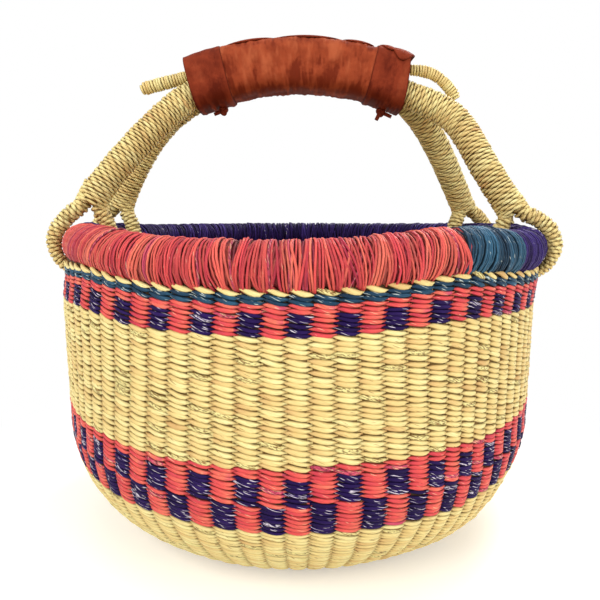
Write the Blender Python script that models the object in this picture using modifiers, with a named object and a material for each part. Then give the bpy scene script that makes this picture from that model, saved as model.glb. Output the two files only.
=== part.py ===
"""Round woven market basket with a double arched handle and a laced leather grip.

Metres, +Z up.  The origin is on the floor, under the middle of the basket, and the
front of the basket faces -Y.  Every angle round the basket is an azimuth measured
from the front (-Y) towards +X.

The basket is woven round upright stakes, so each ring of weave carries one rib per
stake.  The weave rises from a flat disc, through a curved lower wall, two checked
bands and a plain middle wall, to two thick twined cords.  A stuffed rim sits on the
top cord.  Four loops go round the rim, push the top rows down where they pass through
the wall, and fork into two arches that meet side by side inside the leather grip.
"""

import math
from dataclasses import dataclass

import bmesh
import bpy
import numpy as np
from mathutils import Matrix, Vector

# Whole basket
OBJECT_NAME = "bolga_basket"
CLEARANCE = 0.0003
WELD_DISTANCE = 0.1 * CLEARANCE
STAKE_COUNT = 88
SHARP_EDGE_ANGLE = math.radians(50.0)

# Rim
RIM_RADIUS = 0.1700
RIM_HEIGHT = 0.2120
RIM_TUBE_RADIUS = 0.0133
RIM_WRAP_THICKNESS = 0.0028
RIM_SIDES = 8
RIM_WRAP_STEPS = 88
RIM_CORE_STEPS = 44
RIM_SHORTEST_STEP = 0.1
RED_START_AZIMUTH = math.radians(-80.0)
RED_END_AZIMUTH = math.radians(28.0)
TEAL_END_AZIMUTH = math.radians(45.3)

# Woven wall: how far its outside stands in from the rim's outside, its ribs and its thickness
WALL_TUCK = 0.0027
WALL_RADIUS = RIM_RADIUS + RIM_TUBE_RADIUS - WALL_TUCK
WALL_THICKNESS = 0.0050
WALL_RIB_DEPTH = 0.0013
RIB_FADE_HEIGHT = 0.0300
NECK_DEPTH = 0.0014
BASE_RADIUS = 0.1020
BASE_THICKNESS = 0.0050
CORNER_HEIGHT = 0.0825
CORNER_POWER = 1.71

# Heights at which one zone of weave gives way to the next: the lower band is counted from
# the floor, and the zones at the top hang from the rim
LOWER_BAND_BOTTOM = 0.0636
LOWER_BAND_HEIGHT = 0.0385
LOWER_BAND_TOP = LOWER_BAND_BOTTOM + LOWER_BAND_HEIGHT
NATURAL_CORD_HEIGHT = 0.0032
TEAL_CORD_HEIGHT = 0.0046
UPPER_BAND_HEIGHT = 0.0167
TEAL_CORD_TOP = RIM_HEIGHT - RIM_TUBE_RADIUS - NATURAL_CORD_HEIGHT
UPPER_BAND_TOP = TEAL_CORD_TOP - TEAL_CORD_HEIGHT
UPPER_BAND_BOTTOM = UPPER_BAND_TOP - UPPER_BAND_HEIGHT
OUTER_LOOPS_LOWER_WALL = 6
INNER_LOOPS_LOWER_WALL = 4
LOOP_CROWDING = 2.2
STAKES_PER_INNER_FACET = 2

# The top rows dip under each foot loop
DIP_DEPTH = 0.0064
DIP_SPREAD = math.radians(5.2)
DIP_FLATNESS = 1.25

# Foot loops: teardrops round the rim that end in the fork of an arch
LOOP_SIDES = 8
LOOP_STEPS = 18
LOOP_HALF_WIDTH = 0.0066
LOOP_TOP_HALF_THICKNESS = 0.0067
LOOP_SIDE_HALF_THICKNESS = 0.0051
LOOP_UNDER_HALF_THICKNESS = 0.0035
FORK_LEAN = math.radians(107.0)
SLACK_LEAN = math.radians(20.0)
FORK_SPREAD = math.radians(70.0)
FORK_POWER = 1.6

# Arches: round bundles with a twined wrap
ARCH_RADIUS = 0.0117
ARCH_GRIPPED_RADIUS = 0.0100
ARCH_WRAP_THICKNESS = 0.0026
ARCH_FORK_RADIUS = 0.0121
ARCH_FORK_OVERHANG = 0.0040
ARCH_FOOT_STEPS = 7
ARCH_GRIP_STEPS = 8
ARCH_BEVEL_RESOLUTION = 2
ARCH_CORE_BEVEL_RESOLUTION = 1
ARCH_CORE_SETBACK = LOOP_TOP_HALF_THICKNESS + 4.0 * CLEARANCE

# Grip: an arc of leather round both arches and the stiffening rod
GRIP_ARC_RADIUS = 0.2320
HANDLE_RISE = 0.1366
GRIP_CROWN_HEIGHT = RIM_HEIGHT + HANDLE_RISE
GRIP_OFFSET = -0.0012
GRIP_LEFT_ANGLE = math.radians(-21.0)
GRIP_RIGHT_ANGLE = math.radians(20.3)
GRIP_HALF_WIDTH = 0.0247
GRIP_HALF_HEIGHT = 0.0190
LEATHER_THICKNESS = 0.0018
SLEEVE_SETBACK = math.radians(0.4)
BAND_THICKNESS = 0.0013
BAND_LEFT_INNER_ANGLE = math.radians(-13.9)
BAND_RIGHT_INNER_ANGLE = math.radians(13.5)
GRIP_SIDES = 20
GRIP_STEPS = 8
BAND_STEPS = 2
SECTION_POWER = 3.4
ARCH_DROP_IN_GRIP = 0.0067

# Rod on top of the arches, whose wrapped ends come out of the grip as tails
ROD_RADIUS = 0.0080
LEFT_TAIL_SHARE = 0.65
RIGHT_TAIL_SHARE = 0.5
ROD_BEVEL_RESOLUTION = 1

# Sections of the rod inside the grip, as shares: of the grip's arc, and of the rod's radius
# for the section's radius and for its rise over the arches
ROD_SECTION_SHARES = (
    (0.0, LEFT_TAIL_SHARE, 0.0),
    (0.1, 0.9, 0.0),
    (0.3, 1.0, 0.0),
    (0.5, 1.0, 0.0),
    (0.7, 1.0, 0.0),
    (0.9, RIGHT_TAIL_SHARE, 0.3375),
    (1.0, RIGHT_TAIL_SHARE, 0.5625),
)

# Tail routes past the ends of the grip: angle of its arc, and lift as a share of its half height
LEFT_TAIL_SHARES = ((math.radians(-25.80), 0.644), (math.radians(-30.16), 0.883))
RIGHT_TAIL_SHARES = (
    (math.radians(22.69), 0.847),
    (math.radians(24.84), 0.908),
    (math.radians(27.12), 0.823),
    (math.radians(29.19), 0.654),
    (math.radians(30.54), 0.464),
)

# Seam folds along the top of the grip, between these angles of the arc
SEAM_ANGLES = (math.radians(-13.4), math.radians(-4.4), math.radians(7.3), math.radians(13.0))
SEAM_HALF_WIDTH = 0.0050
SEAM_HEIGHT = 0.0016
SEAM_END_HEIGHT = 0.0004
SEAM_GAP_ANGLE = math.radians(0.25)
SEAM_STEPS = 6

# Folded corner on top of the right band
FOLD_START_ANGLE = math.radians(14.2)
FOLD_END_ANGLE = math.radians(20.2)
FOLD_HALF_WIDTH = 0.0085
FOLD_HEIGHT = 0.0030
FOLD_CREST_SHARE = 0.5

# Knots of the leather lace under the grip
KNOT_RADIUS = 0.0030
LACE_RADIUS = 0.0013
KNOT_SHOULDER_RADIUS = 0.0024
KNOT_SHOULDER_DROP = 0.0015
KNOT_SHOULDER_SHARE = 0.4
LACE_TAIL_LENGTH = 0.0060
LEFT_KNOT_ANGLE = math.radians(-16.8)
LEFT_KNOT_LEAN = 0.4
RIGHT_KNOT_ANGLE = math.radians(17.8)
RIGHT_KNOT_LEAN = 1.0


@dataclass(frozen=True)
class Foot:
    """One foot of the handle, and how its half of the arch leaves the grip.

    The fork's distance from the middle of the rim and the loop's slack are shares of the
    rim tube's radius.  Both reaches are shares of the straight line from grip to fork.
    """

    name: str
    stake: float
    side: int
    face: int
    fork_share: float
    slack_share: float
    grip_reach_share: float
    foot_reach_share: float
    foot_slope: float

    @property
    def fork_distance(self):
        """Distance of the fork from the middle of the rim."""
        return self.fork_share * RIM_TUBE_RADIUS

    @property
    def slack(self):
        """How far the loop stands off the outside of the rim."""
        return self.slack_share * RIM_TUBE_RADIUS


# The handle is bound by hand, so its four feet differ a little in place and in bend
FEET = (
    Foot("front_left", -18.0, -1, -1, 2.511, 0.0226, 0.1450, 0.2275, math.radians(62.0)),
    Foot("front_right", 18.0, 1, -1, 1.970, 0.2406, 0.5105, 0.6700, math.radians(54.0)),
    Foot("rear_left", -25.0, -1, 1, 2.331, 0.0226, 0.0688, 0.6708, math.radians(65.5)),
    Foot("rear_right", 27.5, 1, 1, 2.180, 0.0226, 0.2158, 0.1918, math.radians(51.0)),
)


@dataclass(frozen=True)
class Finish:
    """Colour and surface of one material."""

    name: str
    colour: tuple
    roughness: float


NATURAL_STRAW = Finish("natural_straw", (0.72, 0.58, 0.26), 0.62)
RED_STRAW = Finish("red_dyed_straw", (0.72, 0.07, 0.07), 0.60)
PURPLE_STRAW = Finish("purple_dyed_straw", (0.04, 0.02, 0.13), 0.60)
TEAL_STRAW = Finish("teal_dyed_straw", (0.03, 0.12, 0.17), 0.60)
CHECKED_STRAW = Finish("red_and_purple_straw", (0.42, 0.05, 0.10), 0.60)
BARE_BUNDLE = Finish("bare_straw_bundle", (0.55, 0.42, 0.18), 0.75)
TAN_LEATHER = Finish("tan_leather", (0.36, 0.09, 0.04), 0.45)
DARK_LEATHER = Finish("dark_leather", (0.21, 0.04, 0.03), 0.50)


def clear_scene():
    """Remove every object that the file opened with."""
    for item in list(bpy.data.objects):
        bpy.data.objects.remove(item, do_unlink=True)


def make_collection(name):
    """Return a new collection linked under the scene."""
    group = bpy.data.collections.new(name)
    bpy.context.scene.collection.children.link(group)
    return group


def make_material(finish):
    """Return the Principled material of a finish, made once."""
    known = bpy.data.materials.get(finish.name)
    if known is not None:
        return known
    material = bpy.data.materials.new(finish.name)
    material.use_nodes = True
    shader = material.node_tree.nodes["Principled BSDF"]
    shader.inputs["Base Color"].default_value = (*finish.colour, 1.0)
    shader.inputs["Roughness"].default_value = finish.roughness
    shader.inputs["Metallic"].default_value = 0.0
    material.diffuse_color = (*finish.colour, 1.0)
    return material


def add_mesh_object(name, mesh, group, finish):
    """Put a mesh in the scene as a smooth-shaded object."""
    item = bpy.data.objects.new(name, mesh)
    group.objects.link(item)
    mesh.materials.append(make_material(finish))
    mesh.shade_smooth()
    mesh.set_sharp_from_angle(angle=SHARP_EDGE_ANGLE)
    return item


def around(azimuth, radius, height):
    """Return points at azimuths, radii and heights, as an array of X, Y, Z."""
    azimuth, radius, height = np.broadcast_arrays(azimuth, radius, height)
    return np.stack((radius * np.sin(azimuth), -radius * np.cos(azimuth), height), axis=-1)


def bridge(form, lower, upper):
    """Join two closed loops of vertices, of like counts or of several to one."""
    if len(lower) == len(upper):
        for here in range(len(lower)):
            after = (here + 1) % len(lower)
            form.faces.new((lower[here], lower[after], upper[after], upper[here]))
        return
    fine, coarse = (lower, upper) if len(lower) > len(upper) else (upper, lower)
    ratio = len(fine) // len(coarse)
    for here, corner in enumerate(coarse):
        after = coarse[(here + 1) % len(coarse)]
        run = [fine[(ratio * here + step) % len(fine)] for step in range(ratio + 1)]
        for start, end in zip(run, run[1:]):
            form.faces.new((start, end, corner))
        form.faces.new((run[-1], after, corner))


def loft(name, loops, group, finish, closed):
    """Skin a row of loops; a closed loft returns to its first loop, an open one is capped."""
    form = bmesh.new()
    rings = [[form.verts.new(Vector(point)) for point in loop] for loop in loops]
    for lower, upper in zip(rings, rings[1:]):
        bridge(form, lower, upper)
    if closed:
        bridge(form, rings[-1], rings[0])
    else:
        form.faces.new(rings[0])
        form.faces.new(rings[-1])
    bmesh.ops.recalc_face_normals(form, faces=form.faces)
    mesh = bpy.data.meshes.new(name)
    form.to_mesh(mesh)
    form.free()
    return add_mesh_object(name, mesh, group, finish)


def stake_azimuth(stake):
    """Return the azimuth of a stake, counted from the front."""
    return 2.0 * math.pi * stake / STAKE_COUNT


def dip_share(azimuth):
    """Return how fully the top rows are pushed down at each azimuth, flat under a loop."""
    total = np.zeros_like(azimuth)
    for foot in FEET:
        away = azimuth - stake_azimuth(foot.stake)
        away = (away + math.pi) % (2.0 * math.pi) - math.pi
        total = total + DIP_FLATNESS * np.exp(-(away / DIP_SPREAD) ** 2)
    return np.minimum(total, 1.0)


def wall_radius(height):
    """Return the outside radius of the mean wall at a height."""
    if height < CORNER_HEIGHT:
        rise = 1.0 - (1.0 - max(height, 0.0) / CORNER_HEIGHT) ** CORNER_POWER
        return BASE_RADIUS + (WALL_RADIUS - BASE_RADIUS) * rise ** (1.0 / CORNER_POWER)
    neck = max(height - UPPER_BAND_BOTTOM, 0.0) / (RIM_HEIGHT - UPPER_BAND_BOTTOM)
    return WALL_RADIUS - NECK_DEPTH * neck ** 2


def outer_loop(height, dip_depth=0.0):
    """Return a ribbed loop on the outside of the wall, one rib for each stake."""
    azimuth = np.arange(2 * STAKE_COUNT) * math.pi / STAKE_COUNT
    fade = min(height / RIB_FADE_HEIGHT, 1.0)
    rib = 0.5 * WALL_RIB_DEPTH * fade * np.cos(STAKE_COUNT * azimuth)
    return around(azimuth, wall_radius(height) + rib, height - dip_depth * dip_share(azimuth))


def inner_loop(height, dip_depth=0.0, facets=STAKE_COUNT // STAKES_PER_INNER_FACET):
    """Return the plain loop on the inside of the wall, straight behind the outside one."""
    azimuth = np.arange(facets) * 2.0 * math.pi / facets
    step = CLEARANCE
    slope = (wall_radius(height + step) - wall_radius(max(height - step, 0.0))) / (2.0 * step)
    length = math.hypot(1.0, slope)
    radius = wall_radius(height) - WALL_THICKNESS / length
    level = height + WALL_THICKNESS * slope / length
    return around(azimuth, radius, level - dip_depth * dip_share(azimuth))


def woven_ring(name, bottom, top, group, finish, dip_depths=(0.0, 0.0)):
    """Make a ring of weave between two heights, with a gap to the rings above and below."""
    low = bottom + 0.5 * CLEARANCE
    high = top - 0.5 * CLEARANCE
    facets = STAKE_COUNT if any(dip_depths) else STAKE_COUNT // STAKES_PER_INNER_FACET
    loops = [
        outer_loop(low, dip_depths[0]),
        outer_loop(high, dip_depths[1]),
        inner_loop(high, dip_depths[1], facets),
        inner_loop(low, dip_depths[0], facets),
    ]
    return loft(name, loops, group, finish, closed=True)


def lower_wall(group):
    """Make the curved weave between the base disc and the lower band."""
    high = LOWER_BAND_BOTTOM - 0.5 * CLEARANCE
    outer_shares = (np.arange(OUTER_LOOPS_LOWER_WALL + 1) / OUTER_LOOPS_LOWER_WALL) ** LOOP_CROWDING
    inner_shares = (np.arange(INNER_LOOPS_LOWER_WALL + 1) / INNER_LOOPS_LOWER_WALL) ** LOOP_CROWDING
    azimuth = np.arange(STAKE_COUNT) * 2.0 * math.pi / STAKE_COUNT
    loops = [around(azimuth, BASE_RADIUS, 0.0)]
    loops += [outer_loop(high * share) for share in outer_shares[1:]]
    loops += [inner_loop(high * share) for share in inner_shares[:0:-1]]
    loops.append(around(azimuth, BASE_RADIUS, BASE_THICKNESS))
    return loft("lower_wall_weave", loops, group, NATURAL_STRAW, closed=True)


def base_disc(group):
    """Make the flat woven disc that the basket stands on."""
    form = bmesh.new()
    bmesh.ops.create_cone(
        form,
        cap_ends=True,
        segments=STAKE_COUNT // STAKES_PER_INNER_FACET,
        radius1=BASE_RADIUS - CLEARANCE,
        radius2=BASE_RADIUS - CLEARANCE,
        depth=BASE_THICKNESS,
        matrix=Matrix.Translation((0.0, 0.0, 0.5 * BASE_THICKNESS)),
    )
    mesh = bpy.data.meshes.new("base_weave")
    form.to_mesh(mesh)
    form.free()
    return add_mesh_object("base_weave", mesh, group, NATURAL_STRAW)


def top_cord(group):
    """Make the top twined cord, whose upper side follows the underside of the rim."""
    low = TEAL_CORD_TOP + 0.5 * CLEARANCE
    loop_room = 2.0 * LOOP_UNDER_HALF_THICKNESS + 3.0 * CLEARANCE
    flat_top_room = WALL_THICKNESS ** 2 / (8.0 * RIM_TUBE_RADIUS)
    outer = outer_loop(low, DIP_DEPTH)
    inner = inner_loop(low, DIP_DEPTH, STAKE_COUNT)
    tops = []
    for loop in (outer, inner):
        azimuth = np.arctan2(loop[:, 0], -loop[:, 1])
        radius = np.hypot(loop[:, 0], loop[:, 1])
        seat = RIM_TUBE_RADIUS + CLEARANCE + flat_top_room + loop_room * dip_share(azimuth)
        tops.append(around(azimuth, radius, RIM_HEIGHT - np.sqrt(seat ** 2 - (radius - RIM_RADIUS) ** 2)))
    return loft("natural_top_cord", [outer, tops[0], tops[1], inner], group, NATURAL_STRAW, closed=True)


def woven_body(group):
    """Make every ring of weave, from the floor to the rim."""
    base_disc(group)
    lower_wall(group)
    woven_ring("lower_check_band", LOWER_BAND_BOTTOM, LOWER_BAND_TOP, group, CHECKED_STRAW)
    woven_ring("middle_wall_weave", LOWER_BAND_TOP, UPPER_BAND_BOTTOM, group, NATURAL_STRAW)
    woven_ring("upper_check_band", UPPER_BAND_BOTTOM, UPPER_BAND_TOP, group, CHECKED_STRAW, (0.0, DIP_DEPTH))
    woven_ring("teal_cord", UPPER_BAND_TOP, TEAL_CORD_TOP, group, TEAL_STRAW, (DIP_DEPTH, DIP_DEPTH))
    top_cord(group)


def rim_section(azimuth, tube_radius):
    """Return one round section of the rim."""
    turn = np.arange(RIM_SIDES) * 2.0 * math.pi / RIM_SIDES
    return around(azimuth, RIM_RADIUS + tube_radius * np.cos(turn), RIM_HEIGHT + tube_radius * np.sin(turn))


def bore_section(azimuth, tube_radius):
    """Return one section of the bore, on the straight facets of the core that fills it."""
    pitch = 2.0 * math.pi / RIM_CORE_STEPS
    offset = azimuth % pitch - 0.5 * pitch
    section = rim_section(azimuth, tube_radius)
    section[:, :2] *= math.cos(0.5 * pitch) / math.cos(offset)
    return section


def steps_between(first, last, count):
    """Return the azimuths of a full turn's even steps that lie between two ends."""
    pitch = 2.0 * math.pi / count
    inside = np.arange(math.ceil(first / pitch), math.floor(last / pitch) + 1) * pitch
    spare = RIM_SHORTEST_STEP * pitch
    return [azimuth for azimuth in inside if first + spare < azimuth < last - spare]


def rim_wrap(name, start, end, group, finish):
    """Make the sleeve of strands that covers the rim core between two azimuths."""
    first = start + CLEARANCE / RIM_RADIUS
    last = end - CLEARANCE / RIM_RADIUS
    skin = (first, *steps_between(first, last, RIM_WRAP_STEPS), last)
    lining = (first, *steps_between(first, last, RIM_CORE_STEPS), last)
    bore = RIM_TUBE_RADIUS - RIM_WRAP_THICKNESS
    loops = [rim_section(azimuth, RIM_TUBE_RADIUS) for azimuth in skin]
    loops += [bore_section(azimuth, bore) for azimuth in lining[::-1]]
    return loft(name, loops, group, finish, closed=True)


def rim(group):
    """Make the stuffed rim: its core bundle and three dyed lengths of wrap."""
    core_radius = RIM_TUBE_RADIUS - RIM_WRAP_THICKNESS - CLEARANCE
    steps = np.arange(RIM_CORE_STEPS) * 2.0 * math.pi / RIM_CORE_STEPS
    sections = [rim_section(azimuth, core_radius) for azimuth in steps]
    loft("rim_core_bundle", sections, group, BARE_BUNDLE, closed=True)
    full_turn = 2.0 * math.pi
    rim_wrap("rim_wrap_red", RED_START_AZIMUTH, RED_END_AZIMUTH, group, RED_STRAW)
    rim_wrap("rim_wrap_teal", RED_END_AZIMUTH, TEAL_END_AZIMUTH, group, TEAL_STRAW)
    rim_wrap("rim_wrap_purple", TEAL_END_AZIMUTH, RED_START_AZIMUTH + full_turn, group, PURPLE_STRAW)


def loop_half_thickness(lean):
    """Return half the thickness of a foot loop at an angle round the rim."""
    rise = math.sin(lean)
    if rise > 0.0:
        return LOOP_SIDE_HALF_THICKNESS + (LOOP_TOP_HALF_THICKNESS - LOOP_SIDE_HALF_THICKNESS) * rise
    return LOOP_SIDE_HALF_THICKNESS + (LOOP_UNDER_HALF_THICKNESS - LOOP_SIDE_HALF_THICKNESS) * -rise


def loop_distance(foot, lean):
    """Return how far a foot loop's centre line runs from the middle of the rim."""
    stand_off = foot.slack * max(math.cos(lean - SLACK_LEAN), 0.0) ** 2
    hug = RIM_TUBE_RADIUS + CLEARANCE + loop_half_thickness(lean) + stand_off
    away = abs((lean - FORK_LEAN + math.pi) % (2.0 * math.pi) - math.pi)
    pull = max(1.0 - away / FORK_SPREAD, 0.0) ** FORK_POWER
    return hug + (foot.fork_distance - hug) * pull


def loop_sections(foot, spare):
    """Return the oval sections of a foot loop, grown by a spare clearance."""
    azimuth = stake_azimuth(foot.stake)
    outward = np.array((math.sin(azimuth), -math.cos(azimuth), 0.0))
    along = np.array((math.cos(azimuth), math.sin(azimuth), 0.0))
    up = np.array((0.0, 0.0, 1.0))
    turn = np.arange(LOOP_SIDES) * 2.0 * math.pi / LOOP_SIDES
    sections = []
    for lean in FORK_LEAN + np.arange(LOOP_STEPS) * 2.0 * math.pi / LOOP_STEPS:
        ray = outward * math.cos(lean) + up * math.sin(lean)
        middle = outward * RIM_RADIUS + up * RIM_HEIGHT + ray * loop_distance(foot, lean)
        thick = (loop_half_thickness(lean) + spare) * np.cos(turn)
        wide = (LOOP_HALF_WIDTH + spare) * np.sin(turn)
        sections.append(middle + thick[:, None] * ray + wide[:, None] * along)
    return sections


def foot_loops(group, cutters):
    """Make the four loops round the rim, and return a slightly larger cutter for each."""
    grown = {}
    for foot in FEET:
        loft(f"{foot.name}_foot_loop", loop_sections(foot, 0.0), group, NATURAL_STRAW, closed=True)
        cutter = loft(
            f"{foot.name}_fork_cutter", loop_sections(foot, CLEARANCE), cutters, NATURAL_STRAW, closed=True
        )
        cutter.hide_render = True
        cutter.display_type = "WIRE"
        grown[foot.name] = cutter
    return grown


def grip_point(angle, lift, across):
    """Return a point of the grip: an angle of its arc, a lift from its axis, a place across."""
    reach = GRIP_ARC_RADIUS + lift
    height = GRIP_CROWN_HEIGHT - GRIP_ARC_RADIUS + reach * math.cos(angle)
    return Vector((GRIP_OFFSET + reach * math.sin(angle), across, height))


def bezier(points, share):
    """Return the point of a cubic Bezier curve at a share of its course."""
    rest = 1.0 - share
    weights = (rest ** 3, 3.0 * rest ** 2 * share, 3.0 * rest * share ** 2, share ** 3)
    return sum((point * weight for point, weight in zip(points, weights)), Vector())


def half_arch(foot):
    """Return the centre line of half an arch, from the end of the grip down to the fork."""
    across = foot.face * (ARCH_GRIPPED_RADIUS + CLEARANCE)
    angle = GRIP_LEFT_ANGLE if foot.side < 0 else GRIP_RIGHT_ANGLE
    start = grip_point(angle, -ARCH_DROP_IN_GRIP, across)
    azimuth = stake_azimuth(foot.stake)
    outward = Vector((math.sin(azimuth), -math.cos(azimuth), 0.0))
    end = outward * (RIM_RADIUS + foot.fork_distance * math.cos(FORK_LEAN))
    end.z = RIM_HEIGHT + foot.fork_distance * math.sin(FORK_LEAN)
    leave = Vector((foot.side * math.cos(angle), 0.0, -abs(math.sin(angle))))
    course = end - start
    span = course.length
    course.z = 0.0
    course.normalize()
    arrive = course * math.cos(foot.foot_slope) - Vector((0.0, 0.0, math.sin(foot.foot_slope)))
    grip_handle = start + leave * (span * foot.grip_reach_share)
    foot_handle = end - arrive * (span * foot.foot_reach_share)
    handles = (start, grip_handle, foot_handle, end)
    course = [bezier(handles, step / ARCH_FOOT_STEPS) for step in range(ARCH_FOOT_STEPS + 1)]
    return course, end + arrive * ARCH_FORK_OVERHANG


def arch_route(left, right):
    """Return points and radii of a whole arch, fork to fork, thinner inside the grip."""
    across = left.face * (ARCH_GRIPPED_RADIUS + CLEARANCE)
    span = GRIP_RIGHT_ANGLE - GRIP_LEFT_ANGLE
    gripped = [
        grip_point(GRIP_LEFT_ANGLE + span * step / ARCH_GRIP_STEPS, -ARCH_DROP_IN_GRIP, across)
        for step in range(1, ARCH_GRIP_STEPS)
    ]
    left_run, left_end = half_arch(left)
    right_run, right_end = half_arch(right)
    swell = [ARCH_GRIPPED_RADIUS, *[ARCH_RADIUS] * (ARCH_FOOT_STEPS - 1), ARCH_FORK_RADIUS]
    radii = swell[::-1] + [ARCH_GRIPPED_RADIUS] * len(gripped) + swell
    return left_run[::-1] + gripped + right_run, radii, (left_end, right_end)


def tube(name, points, radii, group, finish, resolution, capped=True):
    """Make a round tube through points as a bevelled curve."""
    curve = bpy.data.curves.new(name, "CURVE")
    curve.dimensions = "3D"
    curve.bevel_depth = max(radii)
    curve.bevel_resolution = resolution
    curve.use_fill_caps = capped
    curve.twist_mode = "MINIMUM"
    spline = curve.splines.new("POLY")
    spline.points.add(len(points) - 1)
    for knot, point, radius in zip(spline.points, points, radii):
        knot.co = (*point, 1.0)
        knot.radius = radius / max(radii)
    spline.use_smooth = True
    item = bpy.data.objects.new(name, curve)
    group.objects.link(item)
    curve.materials.append(make_material(finish))
    return item


def curve_to_mesh(item, group, finish):
    """Replace a curve object by a mesh object of the same name with welded caps."""
    bpy.context.view_layer.update()
    evaluated = item.evaluated_get(bpy.context.evaluated_depsgraph_get())
    mesh = bpy.data.meshes.new_from_object(evaluated)
    form = bmesh.new()
    form.from_mesh(mesh)
    bmesh.ops.remove_doubles(form, verts=form.verts, dist=WELD_DISTANCE)
    form.to_mesh(mesh)
    form.free()
    name = item.name
    place = item.matrix_world.copy()
    bpy.data.objects.remove(item, do_unlink=True)
    mesh.name = name
    mesh.materials.clear()
    made = add_mesh_object(name, mesh, group, finish)
    made.matrix_world = place
    return made


def arch(name, left, right, group, grown):
    """Make one arch: the bundle inside, and the twined wrap that saddles the foot loops."""
    points, radii, ends = arch_route(left, right)
    sides = 4 + 2 * ARCH_BEVEL_RESOLUTION
    flats_share = math.cos(math.pi / sides)
    core_radii = [radius * flats_share - ARCH_WRAP_THICKNESS - 2.0 * CLEARANCE for radius in radii]
    core_points = list(points)
    for end, inner in ((0, 1), (-1, -2)):
        course = (core_points[inner] - core_points[end]).normalized()
        core_points[end] = core_points[end] + course * ARCH_CORE_SETBACK
    tube(f"{name}_core_bundle", core_points, core_radii, group, BARE_BUNDLE, ARCH_CORE_BEVEL_RESOLUTION)
    points = [ends[0], *points, ends[1]]
    radii = [radii[0], *radii, radii[-1]]
    skin = tube(f"{name}_twined_wrap", points, radii, group, NATURAL_STRAW, ARCH_BEVEL_RESOLUTION, capped=False)
    wrap = curve_to_mesh(skin, group, NATURAL_STRAW)
    shell = wrap.modifiers.new("thickness", "SOLIDIFY")
    shell.thickness = ARCH_WRAP_THICKNESS
    shell.offset = -1.0
    shell.use_even_offset = True
    for foot in (left, right):
        saddle = wrap.modifiers.new(f"{foot.name}_saddle", "BOOLEAN")
        saddle.operation = "DIFFERENCE"
        saddle.solver = "EXACT"
        saddle.object = grown[foot.name]
    return wrap


def oval_section(angle, half_width, half_height):
    """Return one rounded-square section of the grip at an angle of its arc."""
    turn = np.arange(GRIP_SIDES) * 2.0 * math.pi / GRIP_SIDES
    shape = (np.abs(np.cos(turn)) ** SECTION_POWER + np.abs(np.sin(turn)) ** SECTION_POWER) ** (-1.0 / SECTION_POWER)
    return [
        grip_point(angle, half_height * reach * math.sin(part), half_width * reach * math.cos(part))
        for reach, part in zip(shape, turn)
    ]


def leather_sleeve(name, start, end, steps, swell, thickness, group, finish):
    """Make a sleeve of leather along the arc of the grip, swollen over what it covers."""
    angles = np.linspace(start, end, steps + 1)
    width = GRIP_HALF_WIDTH + swell
    height = GRIP_HALF_HEIGHT + swell
    loops = [oval_section(angle, width, height) for angle in angles]
    loops += [oval_section(angle, width - thickness, height - thickness) for angle in angles[::-1]]
    return loft(name, loops, group, finish, closed=True)


def lens_strip(name, start, end, lift, half_width, heights, group, finish):
    """Make a low ridge along the top of the grip, with a height for each of its sections."""
    loops = []
    for angle, height in zip(np.linspace(start, end, len(heights)), heights):
        crest = FOLD_CREST_SHARE * half_width
        sides = ((-half_width, 0.0), (half_width, 0.0), (crest, height), (-crest, height))
        loops.append([grip_point(angle, lift + rise, across) for across, rise in sides])
    return loft(name, loops, group, finish, closed=False)


def knot(name, angle, lean, group):
    """Make a knot of lace under the grip: a thick middle between two short tails."""
    top = -(GRIP_HALF_HEIGHT + CLEARANCE + BAND_THICKNESS + CLEARANCE + KNOT_RADIUS)
    spread = LACE_TAIL_LENGTH / GRIP_ARC_RADIUS
    shoulder = KNOT_SHOULDER_SHARE * spread
    route = (
        (angle - spread * lean, top - LACE_TAIL_LENGTH),
        (angle - shoulder, top - KNOT_SHOULDER_DROP),
        (angle, top),
        (angle + shoulder, top - KNOT_SHOULDER_DROP),
        (angle + spread, top - LACE_TAIL_LENGTH * lean),
    )
    points = [grip_point(turn, lift, 0.0) for turn, lift in route]
    radii = (LACE_RADIUS, KNOT_SHOULDER_RADIUS, KNOT_RADIUS, KNOT_SHOULDER_RADIUS, LACE_RADIUS)
    return tube(name, points, radii, group, DARK_LEATHER, ROD_BEVEL_RESOLUTION)


def rod(group):
    """Make the stiffening rod that lies on both arches and ends in two tails."""
    apart = ARCH_GRIPPED_RADIUS + CLEARANCE
    reach = ARCH_GRIPPED_RADIUS + 2.0 * CLEARANCE + ROD_RADIUS
    lift = math.sqrt(reach ** 2 - apart ** 2) - ARCH_DROP_IN_GRIP
    span = GRIP_RIGHT_ANGLE - GRIP_LEFT_ANGLE
    points = [grip_point(angle, GRIP_HALF_HEIGHT * rise, 0.0) for angle, rise in LEFT_TAIL_SHARES[::-1]]
    points += [
        grip_point(GRIP_LEFT_ANGLE + span * share, lift + ROD_RADIUS * rise, 0.0)
        for share, radius, rise in ROD_SECTION_SHARES
    ]
    points += [grip_point(angle, GRIP_HALF_HEIGHT * rise, 0.0) for angle, rise in RIGHT_TAIL_SHARES]
    radii = [ROD_RADIUS * LEFT_TAIL_SHARE] * len(LEFT_TAIL_SHARES)
    radii += [ROD_RADIUS * radius for share, radius, rise in ROD_SECTION_SHARES]
    radii += [ROD_RADIUS * RIGHT_TAIL_SHARE] * len(RIGHT_TAIL_SHARES)
    return tube("grip_rod", points, radii, group, NATURAL_STRAW, ROD_BEVEL_RESOLUTION)


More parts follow.
